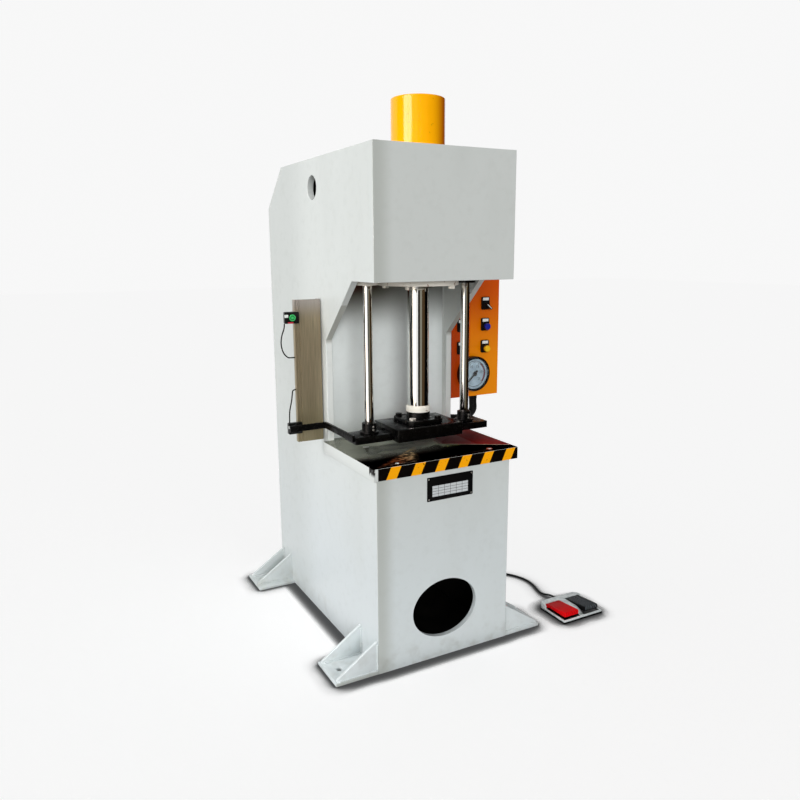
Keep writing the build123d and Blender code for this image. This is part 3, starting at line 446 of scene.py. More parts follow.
def painted_edge_light(tree, tone):
    """Painted highlight on the cut edges round the throat, and painted shade on their slope."""
    for side in (-1, 1):
        middle = side * (inner_x + outer_x) / 2
        cut = times(tree, on_face(tree, "X", middle, 0.0115), within(tree, "Z", table_top, 1.33))
        cut = times(tree, cut, within(tree, "Y", front_y - 0.01, -0.05))
        # Painted highlight on the cut edges.
        tone = mixed(tree, times(tree, cut, 0.8), tone, srgb("#f0f4f1"))
        slope = times(tree, cut, fade(tree, "Z", 1.17, 1.19), 0.85)
        # Painted shade on the slope of the cut edges.
        tone = mixed(tree, slope, tone, srgb("#a3a49c"))
    return tone


def head_shadow_paint(tree, throat_face, tone):
    """Painted shadow on the throat plate under the head, olive brown and deeper on the left, going dark red
    in its top left corner.
    """
    span = {"Value": fade(tree, "X", -0.10, 0.15), "To Min": 1.0, "To Max": 0.6}
    left_more = add(tree, "ShaderNodeMapRange", span).outputs["Result"]
    # Painted shadow of the head, deeper on the left.
    head_shadow = times(tree, throat_face, fade(tree, "Z", 1.20, 1.40), left_more)
    tone = mixed(tree, head_shadow, tone, srgb("#443e2b"))
    # Painted shadow, dark red in the top left corner.
    corner = times(tree, fade(tree, "Z", 1.345, 1.40), opposite(tree, fade(tree, "X", -0.16, -0.02)))
    return mixed(tree, times(tree, throat_face, corner), tone, srgb("#4a1008"))


def frame_enamel(name="sprayed_enamel", dark_inside=True):
    """Sprayed enamel on welded plate: glossy and light, with faint smears; painted light and shade on the
    sides, the cut edges and the throat plate; dark primer inside the frame that also stands in for the shade
    there.
    """
    colour = bpy.context.scene.press_colours.frame_enamel
    finish, tree, shader = start(name, colour, Roughness=0.35, Specular_IOR_Level=0.4)
    tone = painted_edge_light(tree, painted_side_light(tree, colour))
    across = within(tree, "X", -inner_x - SLACK, inner_x + SLACK)
    throat_face = times(tree, on_face(tree, "Y", throat_y, 0.0012), across)
    # Painted light: the throat plate is lighter to make up for the shade in the throat.
    tone = mixed(tree, throat_face, tone, srgb("#e3e9e8"))
    smear = patches(tree, 0.22, 0.5, 0.78, (1, 1, 0.35), 4)
    tone = mixed(tree, times(tree, smear, 0.22), tone, srgb("#b6bab5"))
    dust = patches(tree, 0.03, 0.52, 0.75)
    tone = mixed(tree, times(tree, dust, 0.08), tone, srgb("#a3a79f"))
    by_floor = opposite(tree, fade(tree, "Z", 0.01, 0.13))
    grime = times(tree, patches(tree, 0.05, 0.5, 0.72), by_floor, 0.3)
    tone = mixed(tree, grime, tone, srgb("#908e82"))
    tone = head_shadow_paint(tree, throat_face, tone)
    if dark_inside:
        # Painted shade: the inner faces are near black dark primer that also stands in for the shade inside
        # the frame.
        tone = mixed(tree, hidden_side(tree), tone, srgb("#1c1a18"))
    coloured(tree, shader, tone)
    rough_between(tree, shader, dust, 0.30, 0.42)
    bumps(tree, shader, patches(tree, 0.004, 0.3, 0.7), 0.00004)
    return finish


def clouded(name, code, size, first, second, low=0.35, high=0.65, share=1.0, **values):
    """A finish that drifts from the first tone to the second in patches of that size."""
    finish, tree, shader = start(name, srgb(code), **values)
    mask = times(tree, patches(tree, size, low, high), share)
    coloured(tree, shader, mixed(tree, mask, srgb(first), srgb(second)))
    return finish, tree, shader


def dark_primer_and_shade():
    """Dark primer left as sprayed inside the base, dull and dusty; its near black also stands in for the
    shade inside.
    """
    values = {"Roughness": 0.8, "Specular_IOR_Level": 0.2}
    return clouded("dark_primer_and_shade", "#151412", 0.08, "#11100f", "#1d1b19", **values)[0]


def underside_paint():
    """Dark red under the head, olive in places: painted shade on its downward faces."""
    values = {"Roughness": 0.4, "Specular_IOR_Level": 0.3}
    return clouded("underside_painted_shade", "#5a3a2c", 0.09, "#4c2c22", "#6b6450", **values)[0]


def yellow_enamel():
    """Gloss enamel over a turned barrel: wet shine, soft highlight, painted shade to the right, a few specks.
    """
    colour = bpy.context.scene.press_colours.cylinder_enamel
    finish, tree, shader = start("gloss_enamel_yellow", colour, Roughness=0.14, Specular_IOR_Level=0.25)
    tone = mixed(tree, times(tree, patches(tree, 0.12), 0.15), colour, srgb("#f59a00"))
    # Painted shade on the right of the barrel.
    tone = mixed(tree, times(tree, fade(tree, "X", 0.0, 0.075), 0.95), tone, srgb("#a84200"))
    tone = mixed(tree, times(tree, patches(tree, 0.012, 0.70, 0.74), 0.6), tone, srgb("#7a4a08"))
    coloured(tree, shader, tone)
    bumps(tree, shader, patches(tree, 0.006, 0.3, 0.7), 0.00001)
    return finish


def flange_enamel():
    """Off-white brushed paint on the flange and the bush, with a little rust where bolts rub."""
    values = {"low": 0.63, "high": 0.72, "share": 0.7, "Roughness": 0.45}
    return clouded("brushed_paint_cream", "#f4efe4", 0.018, "#f3eee2", "#8a5b3a", **values)[0]


def hard_chrome():
    """Ground and chromed rod: mirror bright, with hair-fine grinding rings round it."""
    finish, tree, shader = start("hard_chrome", srgb("#f2f2ef"), Metallic=1.0, Roughness=0.07)
    rough_between(tree, shader, patches(tree, 0.02, 0.3, 0.7, (0.05, 0.05, 12)), 0.05, 0.1)
    return finish


def turned_steel():
    """Bright turned steel: fine tool marks and a soft sheen."""
    finish, tree, shader = start("turned_steel", srgb("#a9a8a4"), Metallic=1.0, Roughness=0.3)
    rough_between(tree, shader, patches(tree, 0.01, 0.3, 0.7, (0.2, 0.2, 8)), 0.22, 0.4)
    return finish


def zinc_plate():
    """Zinc plated screws: pale, slightly dull, with bluish patches."""
    return clouded("zinc_plate", "#c9c7c0", 0.012, "#cfcdc6", "#a3a39f", Metallic=0.8, Roughness=0.5)[0]


def black_oxide():
    """Blackened steel wet with oil: near black, with sharp glints on its edges."""
    finish, tree, shader = start("black_oxide", srgb("#060606"), Roughness=0.28, Specular_IOR_Level=0.16)
    scuff = patches(tree, 0.02, 0.55, 0.75, (1, 1, 3))
    tone = mixed(tree, times(tree, scuff, 0.5), srgb("#040404"), srgb("#1d1c1a"))
    coloured(tree, shader, tone)
    rough_between(tree, shader, patches(tree, 0.03), 0.16, 0.42)
    bumps(tree, shader, patches(tree, 0.008, 0.3, 0.7), 0.00012)
    return finish


def side_of(tree, begin, end, soft):
    """1 on the left of a line across the table from begin to end, 0 on its right, in X and Y."""
    place = add(tree, "ShaderNodeTexCoord", {})
    run = Vector((end[0] - begin[0], end[1] - begin[1], 0)).normalized()
    off = (-run.y, run.x, 0)
    reach = begin[0] * off[0] + begin[1] * off[1]
    dot = add(tree, "ShaderNodeVectorMath", {0: place.outputs["Object"], 1: off}, operation="DOT_PRODUCT")
    span = {"Value": dot.outputs["Value"], "From Min": reach - soft, "From Max": reach + soft}
    return add(tree, "ShaderNodeMapRange", span, interpolation_type="SMOOTHSTEP").outputs["Result"]


def oiled_steel():
    """Ground table plate under oil: a dark mirror with maroon, brown and tan stains; painted reflection makes
    it olive at the rear, near black at the front and dark red at the right rear, and a pale painted glint
    crosses it.
    """
    values = {"Metallic": 1.0, "Roughness": 0.12, "Specular_IOR_Level": 0.12}
    finish, tree, shader = start("oiled_steel", srgb("#85867b"), **values)
    # Painted reflection: olive grey, the throat plate seen in the oil.
    tone = mixed(tree, patches(tree, 0.16, 0.4, 0.6), srgb("#9da093"), srgb("#8a8c80"))
    # Painted reflection: near black at the front, the black platen seen in the oil.
    front = opposite(tree, fade(tree, "Y", -0.46, -0.36))
    tone = mixed(tree, front, tone, srgb("#2a2019"))
    maroon = times(tree, front, patches(tree, 0.07, 0.45, 0.6, (1, 2, 1)), 0.7)
    tone = mixed(tree, maroon, tone, srgb("#3c1109"))
    edge_begin, edge_end, glint_wide = (0.085, -0.368), (0.300, -0.502), 0.0035
    rear = side_of(tree, edge_begin, edge_end, 0.004)
    # Painted reflection: dark red at the right rear, the orange panel seen in the oil.
    red = times(tree, opposite(tree, side_of(tree, (0.06, -0.45), (0.10, -0.20), 0.02)), rear)
    tone = mixed(tree, red, tone, srgb("#6e0d0a"))
    near, apex, far = (-0.285, -0.528), (-0.041, -0.350), (-0.128, -0.522)
    wedge = times(tree, opposite(tree, side_of(tree, near, apex, 0.006)), side_of(tree, near, far, 0.004))
    ragged = patches(tree, 0.02, 0.35, 0.6, (1, 1.6, 1))
    wedge = times(tree, wedge, side_of(tree, far, apex, 0.02), ragged)
    stain = mixed(tree, fade(tree, "X", -0.20, -0.05), srgb("#74391a"), srgb("#c6aa7c"))
    tone = mixed(tree, wedge, tone, stain)
    # Painted glint: a thin pale line across the table along the edge of the painted red reflection.
    beyond = [(x, y + glint_wide) for x, y in (edge_begin, edge_end)]
    painted_glint = opposite(tree, side_of(tree, *beyond, 0.0008))
    painted_glint = times(tree, side_of(tree, edge_begin, edge_end, 0.0008), painted_glint)
    painted_glint = times(tree, painted_glint, within(tree, "X", edge_begin[0], edge_end[0]))
    tone = mixed(tree, painted_glint, tone, srgb("#cbb79a"))
    coloured(tree, shader, tone)
    tree.links.new(tone, shader.inputs["Specular Tint"])
    dry = times(tree, opposite(tree, front), opposite(tree, fade(tree, "X", -0.05, 0.12)), 0.6)
    # Less metallic on the stains, the painted glint, the painted red reflection and the dry rear.
    dull_stains_and_painted_light = either(tree, wedge, painted_glint, red, dry)
    tree.links.new(opposite(tree, times(tree, dull_stains_and_painted_light, 0.85)), shader.inputs["Metallic"])
    film = add(tree, "ShaderNodeMapRange", {"Value": patches(tree, 0.05), "To Min": 0.06, "To Max": 0.2})
    matt = either(tree, film.outputs["Result"], times(tree, red, 0.6))
    tree.links.new(matt, shader.inputs["Roughness"])
    bumps(tree, shader, patches(tree, 0.03, 0.3, 0.7), 0.0001)
    return finish


def table_side_paint():
    """Frame enamel on the table's edges, with a small black mark that runs down over the front left corner.
    """
    colour = bpy.context.scene.press_colours.frame_enamel
    finish, tree, shader = start("edge_enamel", colour, Roughness=0.35)
    near = times(tree, within(tree, "Y", -0.5435, -0.508), fade(tree, "Z", 0.758, 0.775))
    ragged = patches(tree, 0.012, 0.38, 0.46, (1, 1, 0.5))
    run = times(tree, near, ragged, within(tree, "X", -0.31, -0.30))
    tone = mixed(tree, run, colour, srgb("#0c0b0a"))
    lip = fade(tree, "Z", table_top - 0.006, table_top - 0.001)
    lip = times(tree, lip, patches(tree, 0.03, 0.4, 0.55), 0.08)
    coloured(tree, shader, mixed(tree, lip, tone, srgb("#5f5a50")))
    return finish


def hazard_tape():
    """Printed vinyl tape: yellow slanted stripes on black, slightly scratched."""
    sizes = bpy.context.scene.press_sizes
    yellow = bpy.context.scene.press_colours.tape_yellow
    finish, tree, shader = start("vinyl_tape", yellow, Roughness=0.4, Specular_IOR_Level=0.12)
    first_x, low_z, lean = -0.262, 0.738, 0.47
    down = {0: along(tree, "Z"), 1: -lean, 2: low_z * lean}
    down = add(tree, "ShaderNodeMath", down, operation="MULTIPLY_ADD")
    across = add(tree, "ShaderNodeMath", {0: along(tree, "X"), 1: down.outputs[0]}, operation="ADD")
    shifted = add(tree, "ShaderNodeMath", {0: across.outputs[0], 1: first_x}, operation="SUBTRACT")
    folded = {0: shifted.outputs[0], 1: sizes.stripe_pitch}
    folded = add(tree, "ShaderNodeMath", folded, operation="FLOORED_MODULO")
    stripe = add(tree, "ShaderNodeMath", {0: folded.outputs[0], 1: sizes.stripe}, operation="LESS_THAN")
    worn = times(tree, stripe.outputs[0], opposite(tree, times(tree, patches(tree, 0.008, 0.66, 0.7), 0.7)))
    coloured(tree, shader, mixed(tree, worn, srgb("#070403"), yellow))
    return finish


def anodised():
    """Anodised extrusion gone tan: soft metallic sheen, drawn ridges along its rear, grey at the top."""
    finish, tree, shader = start("anodised_aluminium", srgb("#a09478"), Metallic=0.35, Roughness=0.42)
    low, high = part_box("sensor_rail")
    wide = high.y - low.y
    ridge_pitch = 0.14 * wide
    drawn = patches(tree, 0.012, 0.3, 0.7, (6, 6, 0.12))
    tone = mixed(tree, drawn, srgb("#998c72"), srgb("#7e735b"))
    turn_rate = 2 * math.pi / ridge_pitch
    turns = {0: along(tree, "Y"), 1: turn_rate, 2: -turn_rate * high.y}
    phase = add(tree, "ShaderNodeMath", turns, operation="MULTIPLY_ADD")
    wave = add(tree, "ShaderNodeMath", {0: phase.outputs[0]}, operation="SINE")
    crest = {"Value": wave.outputs[0], "From Min": -1.0, "From Max": 0.6}
    crest = add(tree, "ShaderNodeMapRange", crest).outputs["Result"]
    ridge = times(tree, crest, fade(tree, "Y", high.y - 0.52 * wide, high.y - 0.2 * wide))
    tone = mixed(tree, times(tree, ridge, 0.75), tone, srgb("#5f4c38"))
    tone = mixed(tree, times(tree, fade(tree, "Z", 1.26, 1.36), 0.6), tone, srgb("#aaa6a8"))
    foot = times(tree, opposite(tree, fade(tree, "Z", 0.86, 1.0)), 0.25)
    coloured(tree, shader, mixed(tree, foot, tone, srgb("#7f7a52")))
    rough_between(tree, shader, drawn, 0.36, 0.5)
    bumps(tree, shader, ridge, 0.0012)
    return finish


def moulded(name, code, rough=0.35, gloss=0.25):
    """Moulded ABS: even colour, fine spark texture from the tool, soft shine."""
    finish, tree, shader = start(name, srgb(code), Roughness=rough, Specular_IOR_Level=gloss)
    grain = patches(tree, 0.0015, 0.3, 0.7)
    rough_between(tree, shader, grain, rough - 0.08, rough + 0.08)
    bumps(tree, shader, grain, 0.00002)
    return finish


def cable_sheath():
    """PVC sheath: matt black with a faint shine along its top."""
    finish, tree, shader = start("pvc_sheath", srgb("#0a0a0a"), Roughness=0.5, Specular_IOR_Level=0.2)
    rough_between(tree, shader, patches(tree, 0.01), 0.42, 0.6)
    return finish


def powder_coat():
    """Powder coated sheet: pale grey with a fine orange peel."""
    values = {"share": 0.25, "Roughness": 0.5}
    finish, tree, shader = clouded("powder_coat", "#c9ccc9", 0.15, "#ccd0cc", "#b3b6b1", **values)
    bumps(tree, shader, patches(tree, 0.0025, 0.3, 0.7), 0.00005)
    return finish


def panel_enamel():
    """Orange gloss enamel on sheet steel, with painted shade that makes it redder beside the frame and
    towards the top.
    """
    colour = bpy.context.scene.press_colours.panel_enamel
    finish, tree, shader = start("gloss_enamel_orange", colour, Roughness=0.3, Specular_IOR_Level=0.25)
    # Painted shade: redder towards the top, under the head.
    tone = mixed(tree, fade(tree, "Z", 1.02, 1.40), colour, srgb("#cc4d00"))
    # Painted shade: redder beside the frame.
    tone = mixed(tree, opposite(tree, fade(tree, "X", 0.365, 0.385)), tone, srgb("#c24203"))
    coloured(tree, shader, tone)
    bumps(tree, shader, patches(tree, 0.006, 0.3, 0.7), 0.00003)
    return finish


def cast_aluminium():
    """Die cast and tumbled aluminium: pale, satin, with a faint grain."""
    values = {"Metallic": 0.7, "Roughness": 0.42}
    finish, tree, shader = clouded("die_cast_aluminium", "#b4bbbb", 0.012, "#bcc3c2", "#98a09f", **values)
    bumps(tree, shader, patches(tree, 0.002, 0.3, 0.7), 0.00004)
    return finish


def cast_iron():
    """Painted casting of the motor and pump: dark grey with a sandy skin."""
    finish, tree, shader = start("painted_casting", srgb("#3d4143"), Roughness=0.5)
    bumps(tree, shader, patches(tree, 0.004, 0.3, 0.7), 0.0002)
    return finish


def tank_enamel():
    """Black enamel on the oil tank, dusty on top."""
    values = {"share": 0.4, "Roughness": 0.3, "Specular_IOR_Level": 0.2}
    return clouded("tank_enamel", "#15161a", 0.06, "#141518", "#3a3a38", **values)[0]


def clear_glass():
    """Flat window glass: clear, with a thin bright reflection."""
    return start("window_glass", (1, 1, 1), Roughness=0.02, IOR=1.45, Transmission_Weight=1.0)[0]


def dial_print():
    """Pale blue white printed dial, slightly uneven."""
    values = {"Roughness": 0.4, "Specular_IOR_Level": 0.2}
    return clouded("printed_dial", "#a3b9c6", 0.02, "#b4cad6", "#9cb4c3", **values)[0]


def seen_level(tree, hidden, seen):
    """One level for light on the press, another for the camera, reflections and glass."""
    rays = add(tree, "ShaderNodeLightPath", {})
    both = add(tree, "ShaderNodeMath", {0: rays.outputs["Is Camera Ray"], 1: rays.outputs["Is Glossy Ray"]})
    every = add(tree, "ShaderNodeMath", {0: both.outputs[0], 1: rays.outputs["Is Transmission Ray"]})
    inputs = {"Value": every.outputs[0], "To Min": hidden, "To Max": seen}
    return add(tree, "ShaderNodeMapRange", inputs).outputs["Result"]


def studio_floor():
    """Pale matt floor, near white to the camera and in reflections, with a painted contact shadow close to
    what stands on it.
    """
    finish, tree, shader = start("studio_floor", srgb("#f2f2f2"), Roughness=1.0, Specular_IOR_Level=0.0)
    # Painted contact shadow: darker where ambient occlusion finds something close.
    near = add(tree, "ShaderNodeAmbientOcclusion", {"Distance": 0.065}, samples=24)
    closed = add(tree, "ShaderNodeMath", {0: near.outputs["AO"], 1: 14.0}, operation="POWER")
    contact_shadow_factor = {"Value": closed.outputs[0], "To Min": 0.06}
    contact_shadow_factor = add(tree, "ShaderNodeMapRange", contact_shadow_factor).outputs["Result"]
    coloured(tree, shader, mixed(tree, contact_shadow_factor, srgb("#303234"), srgb("#cccccc")))
    shader.inputs["Emission Color"].default_value = (1, 1, 1, 1)
    tree.links.new(times(tree, seen_level(tree, 0.2, 0.675), contact_shadow_factor), shader.inputs["Emission Strength"])
    return finish


# Camera at the photograph's place
class PRESS_OT_camera(bpy.types.Operator):
    """Sets up the camera at the photograph's viewing angle"""

    bl_idname = "press.camera"
    bl_label = "Camera"

    def execute(self, context):
        data = bpy.data.cameras.new("photo_camera")
        data.sensor_width = 36
        data.lens = 32.84
        camera = bpy.data.objects.new("photo_camera", data)
        context.collection.objects.link(camera)
        place = (-1.36731, -2.69368, 1.51669)
        yaw, pitch, roll = (math.radians(angle) for angle in (28.44, 11.40, -0.34))
        ahead = Vector((math.sin(yaw) * math.cos(pitch), math.cos(yaw) * math.cos(pitch), -math.sin(pitch)))
        level = Vector((math.cos(yaw), -math.sin(yaw), 0))
        above = level.cross(ahead)
        right = level * math.cos(roll) + above * math.sin(roll)
        up = above * math.cos(roll) - level * math.sin(roll)
        rows = [(right[i], up[i], -ahead[i], place[i]) for i in range(3)]
        camera.matrix_world = Matrix((*rows, (0, 0, 0, 1)))
        context.scene.camera = camera
        return {"FINISHED"}


# Cords
FLOOR_Z = 0.0042
COIL = (0.500, 0.135)
FRONT_ROUTE = [
    (0.655, -0.380, 0.018),
    (0.655, -0.360, 0.018),
    (0.646, -0.328, 0.010),
    (0.647, -0.294, FLOOR_Z),
    (0.656, -0.260, FLOOR_Z),
    (0.669, -0.222, FLOOR_Z),
    (0.675, -0.178, FLOOR_Z),
    (0.669, -0.133, FLOOR_Z),
    (0.649, -0.088, FLOOR_Z),
    (0.620, -0.048, FLOOR_Z),
    (0.588, -0.015, FLOOR_Z),
    (0.563, 0.018, FLOOR_Z),
    (0.548, 0.050, FLOOR_Z),
    (0.548, 0.075, FLOOR_Z),
]
REAR_ROUTE = [
    (0.440, 0.183, 0.0122),
    (0.400, 0.183, 0.0122),
    (0.351, 0.170, 0.060),
    (0.311, 0.170, 0.060),
]
UPPER_WIRE = [
    (-0.439, -0.069, 1.257),
    (-0.439, -0.069, 1.241),
    (-0.451, -0.069, 1.215),
    (-0.456, -0.069, 1.181),
    (-0.449, -0.069, 1.149),
    (-0.429, -0.063, 1.127),
    (-0.411, -0.050, 1.124),
    (-0.395, -0.050, 1.124),
]
LOWER_WIRE = [
    (-0.432, -0.069, 0.873),
    (-0.432, -0.069, 0.895),
    (-0.430, -0.069, 0.925),
    (-0.420, -0.066, 0.957),
    (-0.413, -0.056, 0.983),
    (-0.408, -0.050, 0.999),
    (-0.395, -0.050, 0.999),
]
CONDUIT_ROUTE = [
    (0.440, -0.038, 0.891),
    (0.440, -0.038, 0.861),
    (0.448, -0.032, 0.826),
    (0.434, -0.012, 0.795),
    (0.400, 0.016, 0.782),
    (0.358, 0.038, 0.784),
    (0.331, 0.050, 0.790),
    (0.299, 0.050, 0.790),
]


def step(angle, begin, end, low, high):
    """Value that goes from low to high between two angles and stays level outside them."""
    share = min(1, max(0, (angle - begin) / (end - begin)))
    return low + (high - low) * share


def coil_route():
    """Stored turns: two on the floor, outer then inner, and two on top, inner then outer."""
    outer, inner, points_per_turn, last = 0.048, 0.040, 18, 1170
    spread = (1 + 1 / math.cos(math.pi / points_per_turn)) / 2
    route = []
    for i in range(round(last * points_per_turn / 360) + 1):
        angle = i * 360 / points_per_turn
        radius = step(angle, 330, 360, outer, inner) + step(angle, 990, 1020, 0, outer - inner)
        height = step(angle, 660, 690, FLOOR_Z, REAR_ROUTE[0][2])
        turn = math.radians(angle)
        x = COIL[0] + spread * radius * math.cos(turn)
        y = COIL[1] + spread * radius * math.sin(turn)
        route.append((x, y, height))
    return route


class PRESS_OT_cords(bpy.types.Operator):
    """Lays the foot switch cord with its stored turns, and the wires of the limit sensors"""

    bl_idname = "press.cords"
    bl_label = "Cords"

    def execute(self, context):
        sheath = cable_sheath()
        cord = spline("foot_switch_cord", FRONT_ROUTE + coil_route() + REAR_ROUTE, 0.004, sheath)
        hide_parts("pedal_cord", "cord_coil")
        aside(cord)
        upper = spline("upper_sensor_wire", UPPER_WIRE, 0.0025, sheath)
        lower = spline("lower_sensor_wire", LOWER_WIRE, 0.0025, sheath)
        for wire, route, length in ((upper, UPPER_WIRE, 0.177), (lower, LOWER_WIRE, 0.142)):
            aside(wire)
        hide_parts("sensor_cables")
        dress(moulded("gland_nylon", "#161616"), 0.0006, "cord_glands")
        return {"FINISHED"}


# Frame
class PRESS_OT_frame_plates(bpy.types.Operator):
    """Rounds the cut edges of the frame plates and paints them"""

    bl_idname = "press.frame_plates"
    bl_label = "Frame plates"

    def execute(self, context):
        edge = context.scene.press_sizes.plate_edge
        enamel = frame_enamel()
        for plate in dress(enamel, 0, "side_plate_left", "side_plate_right"):
            round_some(plate, edge, lambda a, b: min(abs(a.x), abs(b.x)) > outer_x - CLOSE)
            for point in plate.data.vertices:
                point.co.z = max(point.co.z, 0.0)
        front = dress(enamel, 0, "head_front_plate")[0]
        lip_z = head_low + 0.001
        round_some(front, edge, lambda a, b: max(a.y, b.y) < front_y + CLOSE and max(a.z, b.z) < lip_z)
        roof_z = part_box("head_top_plate")[1].z - CLOSE
        top = dress(enamel, 0, "head_top_plate")[0]
        round_some(top, edge, lambda a, b: max(a.y, b.y) < front_y + CLOSE and min(a.z, b.z) > roof_z)
        outer_enamel = frame_enamel("sprayed_enamel_above", dark_inside=False)
        back = dress(enamel, edge, "throat_plate", "back_plate")[-1]
        for roof in (top, back):
            paint_faces(roof, outer_enamel, lambda face: face.normal.z > 0.3)
        dress(enamel, 0, "base_front_plate")
        dress(enamel, edge, "foot_front_left", "foot_front_right", "foot_rear_left", "foot_rear_right")
        dress(dark_primer_and_shade(), edge, "base_floor_plate")
        floor = dress(enamel, edge, "head_floor_plate")[0]
        # Painted shade: dark red on the downward faces under the head.
        paint_faces(floor, underside_paint(), lambda face: face.normal.z < -0.5 and face.center.z < lip_z)
        return {"FINISHED"}


def row_of(obj, count, pitch):
    """Repeats obj along X at that pitch."""
    shift = (pitch, 0, 0)
    apart = {"use_relative_offset": False, "use_constant_offset": True, "constant_offset_displace": shift}
    return modify(obj, "ARRAY", count=count, **apart)


def weld(ripple, begin, end, name):
    """Row of overlapping ripples along a straight joint."""
    begin, end = Vector(begin), Vector(end)
    length = (end - begin).length
    turn = (end - begin).to_track_quat("X", "Z").to_matrix().to_4x4()
    count = max(2, round(length / bpy.context.scene.press_sizes.ripple))
    bead = row_of(copy_of(ripple, name, Matrix.Identity(4)), count, length / count)
    bead.data.transform(Matrix.Translation(begin) @ turn)
    return bead


class PRESS_OT_welds(bpy.types.Operator):
    """Lays weld beads in the corners of the throat and along the foot gussets"""

    bl_idname = "press.welds"
    bl_label = "Welds"

    def execute(self, context):
        radius = context.scene.press_sizes.bead
        deselect()
        bpy.ops.mesh.primitive_uv_sphere_add(segments=8, ring_count=4, radius=radius, scale=(1.15, 1, 1))
        ripple = added("weld_ripple", frame_enamel())
        bpy.ops.object.shade_smooth()
        sink = radius * 0.35
        x, y = inner_x - sink, throat_y - sink
        top, bottom = head_low - sink, table_top + sink
        lines = [((-x, y, top), (x, y, top))]
        for side in (-x, x):
            lines.append(((side, y, bottom), (side, y, top)))
            lines.append(((side, -0.33, top), (side, throat_y - 0.005, top)))
        for word in ("front_left", "front_right", "rear_left", "rear_right"):
            lines += foot_lines(word, sink)
        beads = [weld(ripple, a, b, f"weld_{i}") for i, (a, b) in enumerate(lines)]
        bpy.data.objects.remove(ripple)
        aside(joined("weld_beads", beads))
        return {"FINISHED"}


def foot_lines(word, sink):
    """Joints of one foot: along its floor plate at the side plate, and round both gussets."""
    low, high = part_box(f"foot_{word}")
    side = 1 if "right" in word else -1
    thick, gusset_top, rim = 0.012, 0.120, 0.004
    near_x = low.x if side > 0 else high.x
    toe_x = high.x - thick if side > 0 else low.x + thick
    if "rear" in word:
        edges = [high.y - inset - thick for inset in (0.024, 0.118)]
    else:
        edges = [low.y + inset for inset in (0.006, 0.146)]
    x, z = near_x + side * sink, thick + sink
    lines = [((x, min(edges) + 0.02, z), (x, max(edges) - 0.006, z))]
    for edge in edges:
        for y in (edge - sink, edge + thick + sink):
            if low.y + rim < y < high.y - rim:
                lines.append(((x, y, z), (x, y, gusset_top)))
                lines.append(((x, y, z), (toe_x, y, z)))
    return lines


# Work table
class PRESS_OT_work_table(bpy.types.Operator):
    """Finishes the work table with its oiled top, its painted edges and the hazard tape"""

    bl_idname = "press.work_table"
    bl_label = "Work table"

    def execute(self, context):
        low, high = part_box("work_table")
        table = dress(oiled_steel(), 0.001, "work_table")[0]
        paint_faces(table, table_side_paint(), lambda face: face.center.z < high.z - 0.0006)
        bare_end, margin = 0.018, 0.001
        corner = (low.x + bare_end, low.y - 0.0004, low.z + 0.0005)
        tape = cuboid("hazard_tape", corner, (high.x - margin, low.y, high.z - margin), hazard_tape())
        aside(tape)
        washer = turned_steel()
        rust = moulded("rusty_chamfer", "#8a3a22", 0.6)
        radius, thick, sunk = 0.0100, 0.0022, 0.0008
        for name, x, y, finish in (("left", -0.198, -0.259, washer), ("right", 0.198, -0.510, rust)):
            rim = ring(f"table_hole_ring_{name}", (x, y, high.z - sunk), radius, thick, "Z", finish)
            aside(rim)
        return {"FINISHED"}


# Cylinder
class PRESS_OT_cylinder(bpy.types.Operator):
    """Finishes the barrel, its off-white flange, the gland, the bolts and the guide bushes"""

    bl_idname = "press.cylinder"
    bl_label = "Cylinder"

    def execute(self, context):
        fine = context.scene.press_sizes.fine_edge
        barrel = dress(yellow_enamel(), 0.0012, "cylinder_barrel")[0]
        cream = flange_enamel()
        paint_faces(barrel, cream, lambda face: face.center.z < head_low + 0.0005)
        bolts = dress(zinc_plate(), fine, "cylinder_bolts")[0]
        paint_faces(bolts, flange_enamel(), lambda face: face.center.x > 0)
        bushes = dress(cream, fine, "guide_bushes")[0]
        paint_faces(bushes, black_oxide(), lambda face: face.center.x > 0)
        dress(turned_steel(), fine, "cylinder_gland")
        paint_nodes(turned_steel(), "piston")
        return {"FINISHED"}


# Ram
class PRESS_OT_ram(bpy.types.Operator):
    """Finishes the rod, its ring, the flange, the platen, the crossbar and the guide rods"""

    bl_idname = "press.ram"
    bl_label = "Ram"

    def execute(self, context):
        fine = context.scene.press_sizes.fine_edge
        chrome = hard_chrome()
        dress(chrome, fine, "piston_rod", "guide_rods")
        low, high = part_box("guide_rods")
        start_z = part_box("crossbar")[1].z + 0.002
        rod_r, sleeve_r = (high.y - low.y) / 2, context.scene.press_sizes.guide_rod
        sleeves = []
        for x in (low.x + rod_r, high.x - rod_r):
            place = (x, (low.y + high.y) / 2, (start_z + high.z) / 2)
            sleeve = disc("sleeve", place, sleeve_r, high.z - start_z, "Z", chrome, 64)
            sleeves.append(soften(sleeve, 0.001))
        aside(joined("guide_rod_sleeves", sleeves), "ram")
        dress(flange_enamel(), 0.001, "rod_ring")
        black = black_oxide()
        dress(black, 0.0015, "platen", "crossbar")
        dress(black, 0.001, "ram_flange", "rod_collars", "trigger_arm")
        bolts = dress(black, fine, "ram_bolts")[0]
        zinc = zinc_plate()
        paint_faces(bolts, zinc, lambda face: face.center.x < 0 and face.center.y < -0.32)
        low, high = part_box("rod_collars")
        inset, radius, deep = 0.036, 0.0038, 0.004
        screws = []
        for x in (low.x + inset, high.x - inset):
            for rise in (0.0185, 0.0295):
                place = (x, low.y + 0.0025, low.z + rise)
                screw = disc(f"clamp_screw_{len(screws)}", place, radius, deep, "Y", zinc, 24)
                screws.append(soften(screw, 0.0005))
        aside(joined("clamp_screws", screws), "ram")
        return {"FINISHED"}


